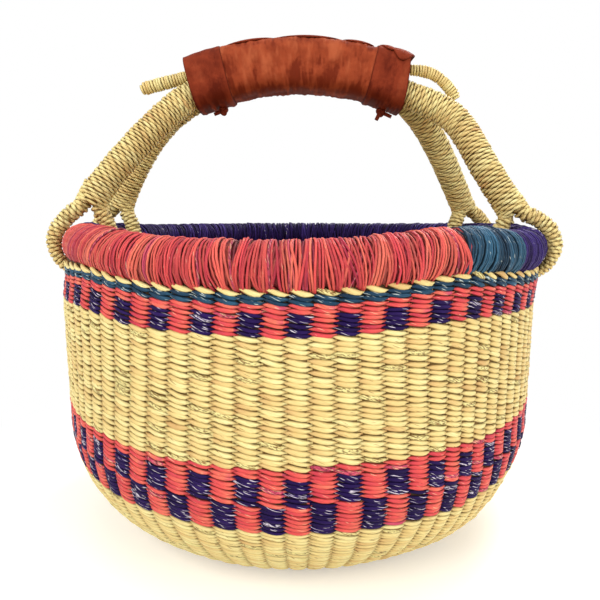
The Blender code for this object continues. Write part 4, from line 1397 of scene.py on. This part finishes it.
@dataclass
class TwinedHandle:
    """Two arches of twined straw, whose split feet loop round the rim."""

    arc: GripArc
    clearance: float = 0.0003
    arch_radius: float = 0.0110
    fork_radius: float = 0.0112
    fork_half_across: float = 0.0112
    fork_half_beside: float = 0.0096
    fork_length: float = 0.0150
    fork_flare: float = 1.3
    gripped_step: float = math.radians(1.2)
    foot_steps: int = 7
    fork_lean: float = math.radians(107.0)
    slack_lean: float = math.radians(-25.0)
    under_slack: float = 3.0 * MM
    fork_spread: float = math.radians(54.0)
    fork_power: float = 1.4
    loop_half_width: float = 0.0076
    loop_top_half_thickness: float = 0.0063
    loop_side_half_thickness: float = 0.0056
    loop_under_half_thickness: float = 0.0040
    leg_apart: float = 0.0052
    leg_open_lean: float = math.radians(15.0)
    leg_half_thick: tuple[float, float] = (0.0063, 0.0060)
    leg_back: tuple[float, float] = (0.0140, 0.0045)
    overlap: float = 0.0015
    arch_inset: float = 0.0012
    loop_inset: float = 0.0010

    def half_thickness(self, lean: Array) -> Array:
        """Return half the thickness of a foot loop at angles round the rim."""
        rise = np.sin(lean)
        more = self.loop_top_half_thickness - self.loop_side_half_thickness
        less = self.loop_side_half_thickness - self.loop_under_half_thickness
        return self.loop_side_half_thickness + np.where(rise > 0.0, more, less) * rise

    @staticmethod
    def hub(foot: Foot) -> Array:
        """Return the middle of the rim tube at a foot."""
        azimuth = np.array(foot.azimuth)
        middle = foot.outward * (RIM_RADIUS + float(SADDLE.shift(azimuth)))
        middle[2] = RIM_HEIGHT + float(SADDLE.rim(azimuth))
        return middle

    def loop_distance(self, foot: Foot, lean: Array, fork_distance: float, fork_lean: float) -> Array:
        """Return how far a foot loop's middle line runs from the middle of the rim tube.

        Args:
            foot: the foot.
            lean: angles round the rim.
            fork_distance: distance from the rim's middle to the fork.
            fork_lean: angle of the fork round the rim.

        Returns:
            The distances.
        """
        stand_off = foot.slack * np.maximum(np.cos(lean - self.slack_lean), 0.0) ** 2
        stand_off = stand_off + self.under_slack * np.maximum(-np.sin(lean), 0.0) ** 2
        hug = RIM_TUBE_RADIUS + self.clearance + self.half_thickness(lean) + stand_off
        away = np.abs(nearest_turn(lean - fork_lean))
        pull = np.maximum(1.0 - away / self.fork_spread, 0.0) ** self.fork_power
        return hug + (fork_distance - hug) * pull

    def fork(self, foot: Foot) -> tuple[Array, Array, Array]:
        """Return the point where a foot forks, the way the arch arrives there, and the grip end of the arch."""
        start = self.arc.point(self.arc.end_angle(foot.side), -self.arc.arch_drop, foot.face * self.arc.apart)
        end = foot.outward * (RIM_RADIUS + foot.fork_distance * math.cos(self.fork_lean))
        end[2] = RIM_HEIGHT + foot.fork_distance * math.sin(self.fork_lean)
        level = (end - start) * (1.0, 1.0, 0.0)
        arrive = unit(level) * math.cos(foot.foot_slope) - np.array((0.0, 0.0, math.sin(foot.foot_slope)))
        return end, arrive, start

    def arch_route(self, foot: Foot) -> Route:
        """Return half an arch, from its fork up to a little inside the grip."""
        end, arrive, start = self.fork(foot)
        angle = self.arc.end_angle(foot.side)
        leave = np.array((foot.side * math.cos(angle), 0.0, -abs(math.sin(angle))))
        controls = np.stack((start, start + leave * foot.grip_reach, end - arrive * foot.foot_reach, end))
        share = np.linspace(1.0, 0.0, 60)
        course = bezier(controls, share)
        inside = foot.side * self.gripped_step * np.arange(1, 5)
        gripped = self.arc.point(angle - inside, -self.arc.arch_drop, foot.face * self.arc.apart)
        points = np.concatenate(((end + arrive * self.overlap)[None], course, gripped))
        share = np.concatenate(([1.0], share, np.zeros(len(inside))))
        knots = (0.0, 1.0 / self.foot_steps, 1.0 - 1.0 / self.foot_steps, 1.0)
        radius = np.interp(share, knots, (self.arc.arch_radius, self.arch_radius, self.arch_radius, self.fork_radius))
        near = np.clip(1.0 - travelled(points) / self.fork_length, 0.0, 1.0) ** self.fork_flare
        half_across, half_beside = (
            radius + (at_fork - radius) * near for at_fork in (self.fork_half_across, self.fork_half_beside)
        )
        return Route(points, untwisted(points, foot.outward), half_across, half_beside)

    def leg_route(self, foot: Foot) -> Route:
        """Return the two legs of a foot as one course: out of the fork, round the rim and back into it."""
        end, arrive, _ = self.fork(foot)
        up = np.array((0.0, 0.0, 1.0))
        to_fork = end - self.hub(foot)
        fork_lean = math.atan2(to_fork[2], float(to_fork @ foot.outward))
        lean = fork_lean - np.linspace(self.leg_open_lean, FULL_TURN - self.leg_open_lean, 22)
        ray = foot.outward * np.cos(lean)[:, None] + up * np.sin(lean)[:, None]
        distance = self.loop_distance(foot, lean, float(np.linalg.norm(to_fork)), fork_lean)
        loop = self.hub(foot) + ray * distance[:, None]
        in_plane = np.cross(foot.along, arrive)
        in_plane = in_plane * np.sign(in_plane @ foot.outward)
        raised = [end - arrive * back for back in self.leg_back]
        outer = np.stack([point + in_plane * self.leg_apart for point in raised])
        inner = np.stack([point - in_plane * self.leg_apart for point in raised[::-1]])
        points = np.concatenate((outer, loop, inner))
        thick = np.concatenate((self.leg_half_thick[::-1], self.half_thickness(lean), self.leg_half_thick))
        course = flowing(np.concatenate((points, thick[:, None]), axis=1), 5)
        tangent = unit(np.gradient(course[:, :3], axis=0))
        across = np.cross(tangent, foot.along)
        widest = int(np.argmax(course[:, :3] @ foot.outward))
        across = across * np.sign(across[widest] @ foot.outward)
        return Route(course[:, :3], across, course[:, 3], np.full(len(course), self.loop_half_width))

    def build(self) -> None:
        """Add the arches and the foot loops: straws inside, twined stitches outside."""
        arch_twining = Twining()
        loop_twining = Twining(pitch=2.9 * MM, stakes=5.5, half_high=1.46 * MM, half_span=0.72)
        arches: dict[str, tuple[list[Skin], list[Skin]]] = {"front": ([], []), "rear": ([], [])}
        for seed, foot in enumerate(FEET, start=31):
            route, legs = self.arch_route(foot), self.leg_route(foot)
            straws, stitches = arches["front" if foot.face < 0 else "rear"]
            straws.append(bundle(route, 2.0 * MM, route.length, -1.5 * MM, 8))
            stitches.append(twined(route, self.arch_inset, route.length - self.loop_inset, arch_twining, seed))
            leg_skins = [
                bundle(legs, 0.0, legs.length, -1.35 * MM, 6),
                twined(legs, self.loop_inset, legs.length - self.loop_inset, loop_twining, seed + 20),
            ]
            add_piece(f"{foot.name}_foot_twining", leg_skins, NATURAL, (f"{foot.name}_foot_loop",))
        for name, (straws, stitches) in arches.items():
            add_piece(f"{name}_arch_straws", straws, SHADED_STRAW, (f"{name}_arch_core_bundle",))
            add_piece(f"{name}_arch_twining", stitches, NATURAL, (f"{name}_arch_twined_wrap",))


@dataclass
class WoundRod:
    """Stiffening rod on top of the arches, whose wound ends come out of the grip as tails."""

    arc: GripArc
    rod_radius: float = 0.0080
    left_radius: float = 0.0052
    right_radius: float = 0.0046
    sections: tuple = (
        (0.0, 0.0052, 0.0), (0.1, 0.0072, 0.0), (0.3, 0.0080, 0.0), (0.5, 0.0080, 0.0),
        (0.7, 0.0080, 0.0), (0.9, 0.0040, 0.0027), (1.0, 0.0040, 0.0045),
    )
    left_tail: tuple = ((-0.1075, 0.3365), (-0.1262, 0.3317))
    right_tail: tuple = ((0.0945, 0.3455), (0.1035, 0.3428), (0.1117, 0.3370), (0.1180, 0.3300), (0.1212, 0.3240))
    pitch: float = 2.15 * MM
    steps_per_turn: int = 14
    half_thick: float = 0.75 * MM
    width_share: float = 0.53
    uneven_pitch: float = 0.12
    uneven_lift: float = 0.12 * MM
    tone: float = 0.45
    turn_tone: float = 0.2
    # Painted shade at the edges of the wound strand.
    edge: tuple[float, float] = (0.85, 4.0)
    tail_inside: float = 0.012
    dome_share: float = 0.7
    dome_tip: float = 0.06

    def route(self) -> Route:
        """Return the rod's course, tail to tail, with domed ends."""
        reach = self.arc.apart + self.arc.clearance + self.rod_radius
        lift = math.sqrt(reach**2 - self.arc.apart**2) - self.arc.arch_drop
        span = self.arc.right_angle - self.arc.left_angle
        left = [(x, 0.0, z, self.left_radius) for x, z in self.left_tail[::-1]]
        gripped = [
            (*self.arc.point(self.arc.left_angle + span * share, lift + rise, 0.0), radius)
            for share, radius, rise in self.sections
        ]
        right = [(x, 0.0, z, self.right_radius) for x, z in self.right_tail]
        course = flowing(np.array([*left, *gripped, *right]), 10)
        points, radius = course[:, :3], course[:, 3]
        distance = travelled(points)
        to_end = np.minimum(distance, distance[-1] - distance)
        flat = 1.0 - np.clip(to_end / (self.dome_share * radius), 0.0, 1.0)
        radius = radius * np.sqrt(np.clip(1.0 - flat**2, self.dome_tip, 1.0))
        return Route(points, untwisted(points, np.array((0.0, 1.0, 0.0))), radius, radius)

    def winding(self, route: Route, first: float, last: float, seed: int) -> Skin:
        """Return one strand wound round the rod in a plain close spiral.

        Args:
            route: the rod's course.
            first: reach at which the winding starts.
            last: reach at which it ends.
            seed: picks the hand's unevenness.

        Returns:
            The strand's skin.
        """
        rng = np.random.default_rng(seed)
        turn = (np.arange(int((last - first) / self.pitch * self.steps_per_turn) + 1) / self.steps_per_turn)[None]
        knots = np.arange(int(turn.max()) + 3)
        stray, rise, shade = (np.interp(turn, knots, values) for values in rng.normal(size=(3, len(knots))))
        reach = first + self.pitch * (turn + self.uneven_pitch * stray)
        path, outward = route.surface(reach, FULL_TURN * turn, self.uneven_lift * rise - self.half_thick)
        half_wide = np.full(turn.shape, self.width_share * self.pitch)
        tone = np.clip(self.tone + self.turn_tone * shade, 0.0, 1.0)
        return laid_straw(path, outward, self.half_thick, half_wide, turn * route.girth_mm, tone, self.edge)

    def build(self) -> None:
        """Add the rod's straws and the winding of both tails."""
        route = self.route()
        left_end, right_end = (
            route.reach[np.argmin(np.abs(route.points[:, 0] - self.arc.point(angle, 0.0, 0.0)[0]))]
            for angle in (self.arc.left_angle, self.arc.right_angle)
        )
        skins = [
            bundle(route, 0.6 * MM, route.length - 0.6 * MM, -0.9 * MM, 7),
            self.winding(route, 0.8 * MM, left_end + self.tail_inside, 61),
            self.winding(route, right_end - self.tail_inside, route.length - 0.8 * MM, 62),
        ]
        add_piece("grip_rod_winding", skins, NATURAL, ("grip_rod",))


@dataclass(frozen=True)
class Relief:
    """Bumps of a leather cover, in millimetres: waves along and round the grip, and a ragged lower edge.

    Each wave has a seed, a height, a length in millimetres along the grip, and a length
    round it with half the grip's width as the unit.  The ragged edge has the first three.
    """

    waves: tuple[tuple[int, float, float, float], ...]
    ragged: tuple[int, float, float]
    lowest: float
    highest: float
    edge_power: int = 6

    def at(self, angle_mm: Array, turn: Array) -> Array:
        """Return the bumps in metres, at distances along the grip and turns round it."""
        seed, height, length = self.ragged
        bump = height * ripple(seed, (angle_mm, length)) * np.clip(-np.sin(turn), 0.0, 1.0) ** self.edge_power
        for seed, height, length, width in self.waves:
            bump = bump + height * ripple(seed, (angle_mm, length), (np.cos(turn), width), (np.sin(turn), width))
        return MM * np.clip(bump, self.lowest, self.highest)


@dataclass
class LeatherGrip:
    """Leather grip: a wrinkled sleeve, a band over each end, folds along the top and lace knots below."""

    arc: GripArc
    leather: float = 0.0018
    band: float = 0.0013
    fold: float = 0.0026
    setback: float = math.radians(0.4)
    band_left_inner: float = math.radians(-13.9)
    band_right_inner: float = math.radians(13.5)
    seams: tuple = (math.radians(-13.4), math.radians(-4.4), math.radians(7.3), math.radians(13.0))
    left_knot: float = math.radians(-16.8)
    right_knot: float = math.radians(17.8)
    sides: int = 108
    lip: float = 0.03
    inner_bump: float = 0.4
    # Painted shade on the grip's underside: the bump is lowered there.
    underside_shade: float = 0.75
    underside_shade_start: float = 0.15
    # Painted shade along the cut edges of the leather and on the row next to them.
    cut_edge: float = 0.8
    near_cut: float = 0.3
    sleeve_relief: Relief = Relief(
        ((3, 0.26, 16.0, 1.3), (4, 0.18, 34.0, 1.6), (6, 0.09, 5.0, 0.7)), (8, 0.35, 7.0), -1.2, 0.8
    )
    band_relief: Relief = Relief(((9, 0.28, 24.0, 4.0),), (10, 0.40, 6.0), -0.4, 1.2)
    flap_back: float = math.radians(80.0)
    flap_front: float = math.radians(116.0)
    flap_sunk: float = 0.9 * MM
    seam_reach: float = math.radians(14.0)
    pleats: tuple = (
        (math.radians(13.8), math.radians(17.4), math.radians(20.0), -0.9 * MM),
        (math.radians(15.6), math.radians(20.2), math.radians(36.0), -0.6 * MM),
    )
    left_lace_tails: tuple = ((-0.0075, 0.0030),)
    right_lace_tails: tuple = ((-0.0035, 0.0062), (0.0085, 0.0038))
    lace_size: float = 0.85 * MM
    lace_half_thick: float = 1.45 * MM

    def cover(
        self, start: float, end: float, tilts: tuple[float, float], swell: float, thickness: float, steps: int,
        relief: Relief,
    ) -> Skin:
        """Return a sleeve of leather: the section carried along the arc, outside and then back inside.

        Args:
            start: first angle of the arc.
            end: last angle.
            tilts: how far the top of each end leans to the right, as an angle of the arc.
            swell: distance over the sleeve's plain surface.
            thickness: thickness of the leather.
            steps: sections along the arc.
            relief: its bumps.

        Returns:
            The sleeve's skin, whose run holds millimetres along and round, and the bump in millimetres, lowered on the
            underside as painted shade.
        """
        turn = (np.arange(self.sides) * FULL_TURN / self.sides)[None, :]
        across, lift = self.arc.section(turn)
        size = np.hypot(across, lift)
        high = lift / self.arc.half_height
        share = np.linspace(0.0, 1.0, steps)[:, None]
        angle = (start + tilts[0] * high) * (1.0 - share) + (end + tilts[1] * high) * share
        angle_mm = angle * self.arc.radius / MM
        bump = relief.at(angle_mm, turn)
        cut_ends = (np.exp(-share / self.lip) * (tilts[0] == 0.0), np.exp((share - 1.0) / self.lip) * (tilts[1] == 0.0))
        outer = (size + swell + bump - 0.5 * thickness * sum(cut_ends)) / size
        inner = (size + swell - thickness + self.inner_bump * bump) / size
        outer_points = self.arc.point(angle, lift * outer, across * outer)
        inner_points = self.arc.point(angle, lift * inner, across * inner)[::-1]
        points = np.concatenate((outer_points, inner_points))
        # Painted shade on the underside of the grip: the bump is lowered there, so the crease shade darkens it.
        underside_shade = self.underside_shade * np.clip(-np.sin(turn) - self.underside_shade_start, 0.0, 1.0)
        run = run_field(angle_mm, turn * size / MM, bump / MM - underside_shade)
        run = np.concatenate((run, run[::-1]))
        # Painted shade along the cut ends.
        edge = np.zeros(points.shape[:2])
        edge[[0, steps - 1, steps, -1]] = self.cut_edge
        edge[[1, steps - 2]] = self.near_cut
        return Skin(points[None, :, ::-1], run[None, :, ::-1], edge[None, :, ::-1], looped=True)

    def flap(self, start: float, end: float, reach: float, lift: float) -> Skin:
        """Return a fold of leather that lies over the top of the grip and hangs over its front shoulder.

        Its front edge is a sine arch between its ends, and its thickness tapers to them.  Its underside is darkened as
        painted shade.

        Args:
            start: first angle of the arc.
            end: last angle.
            reach: how much further the front edge turns in the middle than at both ends.
            lift: height of its underside over the sleeve.

        Returns:
            The fold's skin.
        """
        share = np.linspace(0.0, 1.0, 40)[:, None]
        arch = np.sin(math.pi * share) ** 0.7
        round_edge = np.linspace(0.0, FULL_TURN, 28, endpoint=False)[None, :]
        place = 0.5 - 0.5 * np.cos(round_edge)
        turn = self.flap_back + (self.flap_front + reach * arch - self.flap_back) * place
        thick = self.fold * (0.45 + 0.55 * arch)
        side = np.sign(np.sin(round_edge)) * np.abs(np.sin(round_edge)) ** 0.5
        height = lift + 0.5 * thick * (1.0 + side) + 0.2 * MM * place**3 * arch
        across, section_lift = self.arc.section(turn)
        size = np.hypot(across, section_lift)
        scale = (size + height) / size
        angle = start + (end - start) * share
        points = self.arc.point(angle, section_lift * scale, across * scale)
        run = run_field(angle * self.arc.radius / MM, turn * size / MM, 0.15 * arch)
        # Painted shade under the fold.
        return Skin(points[None], run[None], 0.28 * (1.0 - side)[None])

    def knot(self, angle: float, tails: tuple[tuple[float, float], ...]) -> list[Skin]:
        """Return a lace knot under the grip: a small trefoil of lace and its cut tails, darkened as painted shade.

        Args:
            angle: angle of the arc at which it hangs.
            tails: for each tail, how far it reaches to the right and down, in metres.

        Returns:
            The skins of the knot and its tails.
        """
        turn = np.linspace(0.0, FULL_TURN, 60, endpoint=False)
        low = -(self.arc.half_height + self.arc.clearance + self.band + self.arc.clearance + 3.0 * MM)
        middle = self.arc.point(angle, low, 0.0)
        places = (
            np.sin(turn) + 2.0 * np.sin(2.0 * turn), -np.sin(3.0 * turn), np.cos(turn) - 2.0 * np.cos(2.0 * turn)
        )
        trefoil = self.lace_size * np.stack(places, axis=-1)
        path = np.concatenate((trefoil, trefoil[:1])) + middle
        outward = unit(path - middle + 1e-6)
        thick = np.full((1, len(path)), self.lace_half_thick)
        grid, _ = sweep(path[None], outward[None], thick, 1.15 * thick, LACE_TURNS)
        # Painted shade: the knot and its tails are darkened half way to the leather's shade colour, and the tails' cut
        # tips further.
        skins = [Skin(grid, 0.0, 0.5)]
        for across, drop in tails:
            route = np.array(((0.0, 0.0, 0.0), (0.35 * across, -0.4 * MM, -0.3 * drop), (across, -1.0 * MM, -drop)))
            course = flowing(route + middle, 8)
            taper = np.linspace(1.0, 0.75, len(course))[None]
            facing = np.broadcast_to(np.array((0.0, -1.0, 0.2)), course.shape)
            grid, _ = sweep(course[None], facing[None], 0.9 * MM * taper, 1.9 * MM * taper, LACE_TURNS)
            leather_shade = np.full(grid.shape[:3], 0.5)
            leather_shade[:, -1] = self.cut_edge
            skins.append(Skin(grid, 0.0, leather_shade))
        return skins

    def build(self) -> None:
        """Add the sleeve, both bands, the folds and the knots."""
        left, right = self.arc.left_angle, self.arc.right_angle
        tilts = (self.arc.left_tilt, self.arc.right_tilt)
        sleeve = self.cover(
            left + self.setback, right - self.setback, tilts, 0.0, self.leather, 220, self.sleeve_relief
        )
        add_piece("grip_leather_sleeve", [sleeve], TAN_LEATHER, ("grip_sleeve",))
        swell = self.band + self.arc.clearance
        bands = (
            ("left", left, self.band_left_inner, (tilts[0], 0.0)),
            ("right", self.band_right_inner, right, (0.0, tilts[1])),
        )
        for side, start, end, lean in bands:
            band = self.cover(start, end, lean, swell, self.band, 60, self.band_relief)
            add_piece(f"{side}_leather_band", [band], DARK_LEATHER, (f"grip_band_{side}",))
        for number, (start, end) in enumerate(zip(self.seams, self.seams[1:]), start=1):
            fold = self.flap(start, end, self.seam_reach, -self.flap_sunk)
            add_piece(f"top_seam_fold_{number}", [fold], DARK_LEATHER, (f"grip_seam_fold_{number}",))
        pleats = [self.flap(start, end, reach, swell + lift) for start, end, reach, lift in self.pleats]
        add_piece("right_band_pleat", pleats, DARK_LEATHER, ("right_band_fold",))
        knots = (("left", self.left_knot, self.left_lace_tails), ("right", self.right_knot, self.right_lace_tails))
        for side, angle, tails in knots:
            add_piece(f"{side}_lace", self.knot(angle, tails), DARK_LEATHER, (f"lace_knot_{side}",))


class LampSide(Enum):
    """Where a lamp stands, seen from the camera."""

    FRONT_LEFT = (-0.95, -1.35, 1.25)
    FRONT_RIGHT = (1.25, -1.05, 0.75)
    BACK_RIGHT = (0.75, 1.15, 1.35)
    ABOVE = (0.0, -0.1, 1.9)


@dataclass
class Studio:
    """Camera of the photograph, plain pale floor and soft lamps."""

    camera_place: tuple[float, float, float] = (0.0, -0.46266, 0.24139)
    camera_pitch: float = math.pi / 2.0 - 0.165
    lens_mm: float = 33.749
    shift_x: float = -0.0025
    target: tuple[float, float, float] = (0.0, 0.0, 0.16)
    lamps: tuple[tuple[LampSide, float, float], ...] = (
        (LampSide.FRONT_LEFT, 1.1, 22.0), (LampSide.FRONT_RIGHT, 1.0, 10.5),
        (LampSide.BACK_RIGHT, 0.8, 20.0), (LampSide.ABOVE, 1.2, 8.0),
    )
    white: str = "#ffffff"
    sky_power: float = 0.42
    floor_colour: str = "#f8f5ee"
    floor_size: float = 6.0
    floor_glow: float = 0.31
    shadow_start: float = 0.14
    shadow_end: float = 0.36

    def camera(self) -> None:
        """Add the camera."""
        data = bpy.data.cameras.new("camera")
        data.lens = self.lens_mm
        data.sensor_width = 36.0
        data.shift_x = self.shift_x
        data.clip_start = 0.01
        camera = new_object("camera", data)
        camera.location = self.camera_place
        camera.rotation_euler = (self.camera_pitch, 0.0, 0.0)
        bpy.context.scene.camera = camera

    def lamp(self, side: LampSide, size: float, power: float) -> None:
        """Add a square lamp that faces the basket.

        Args:
            side: where it stands.
            size: its side.
            power: its power in watts.
        """
        data = bpy.data.lights.new(side.name.lower(), "AREA")
        data.size = size
        data.energy = power
        lamp = new_object(side.name.lower(), data)
        lamp.location = side.value
        course = np.array(self.target) - np.array(side.value)
        level = math.hypot(course[0], course[1])
        lamp.rotation_euler = (math.atan2(level, -course[2]), 0.0, math.atan2(-course[0], course[1]))

    def world(self) -> None:
        """Light the scene with a soft grey sky that looks white to the camera and in gloss."""
        world = bpy.data.worlds.new("studio")
        world.use_nodes = True
        bpy.context.scene.world = world
        kit = NodeKit(world.node_tree)
        kit.tree.nodes.clear()
        rays = kit.add("ShaderNodeLightPath").outputs
        seen = kit.maths("MAXIMUM", rays["Is Camera Ray"], rays["Is Glossy Ray"])
        seen = kit.maths("MAXIMUM", seen, rays["Is Transmission Ray"])
        sky, white = (
            kit.add("ShaderNodeBackground", {0: linear(self.white), 1: power}).outputs[0]
            for power in (self.sky_power, 1.0)
        )
        mixed = kit.add("ShaderNodeMixShader", {0: seen, 1: sky, 2: white})
        kit.add("ShaderNodeOutputWorld", {0: mixed.outputs[0]})

    def floor(self) -> None:
        """Add a plain pale floor that keeps the basket's shadow."""
        half = 0.5 * self.floor_size
        mesh = bpy.data.meshes.new("floor")
        corners = [(x * half, y * half, 0.0) for x, y in ((-1, -1), (1, -1), (1, 1), (-1, 1))]
        mesh.from_pydata(corners, [], [(0, 1, 2, 3)])
        material, kit, shader = new_material("white_card_matt")
        seen = kit.add("ShaderNodeLightPath").outputs["Is Camera Ray"]
        kit.fill(shader, {
            "Base Color": linear(self.floor_colour), "Roughness": 0.9, "Specular IOR Level": 0.1,
            "Emission Color": linear(self.white), "Emission Strength": kit.maths("MULTIPLY", seen, self.floor_glow),
        })
        place = kit.add("ShaderNodeTexCoord").outputs["Object"]
        distance = kit.add("ShaderNodeVectorMath", {0: place}, operation="LENGTH").outputs["Value"]
        fade = kit.add(
            "ShaderNodeMapRange", {0: distance, 1: self.shadow_start, 2: self.shadow_end},
            interpolation_type="SMOOTHSTEP",
        )
        far = kit.maths("MULTIPLY", fade.outputs[0], seen)
        white = kit.add("ShaderNodeEmission", {0: linear(self.white), 1: 1.0})
        mixed = kit.add("ShaderNodeMixShader", {0: far, 1: shader.outputs[0], 2: white.outputs[0]})
        kit.tree.links.new(mixed.outputs[0], kit.tree.nodes["Material Output"].inputs["Surface"])
        mesh.materials.append(material)
        new_object("floor", mesh)

    def build(self) -> None:
        """Add the lamps, the world and the floor."""
        for side, size, power in self.lamps:
            self.lamp(side, size, power)
        self.world()
        self.floor()


def main() -> None:
    """Dress the frame, and set up the camera, lamps, world and floor."""
    logging.basicConfig(level=logging.INFO, format="%(name)s: %(message)s")
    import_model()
    studio = Studio()
    studio.camera()
    arc = GripArc()
    WovenWall().build()
    StuffedRim().build()
    TwinedHandle(arc).build()
    WoundRod(arc).build()
    LeatherGrip(arc).build()
    studio.build()
    bpy.context.scene.view_settings.view_transform = "Standard"


if __name__ == "__main__":
    main()
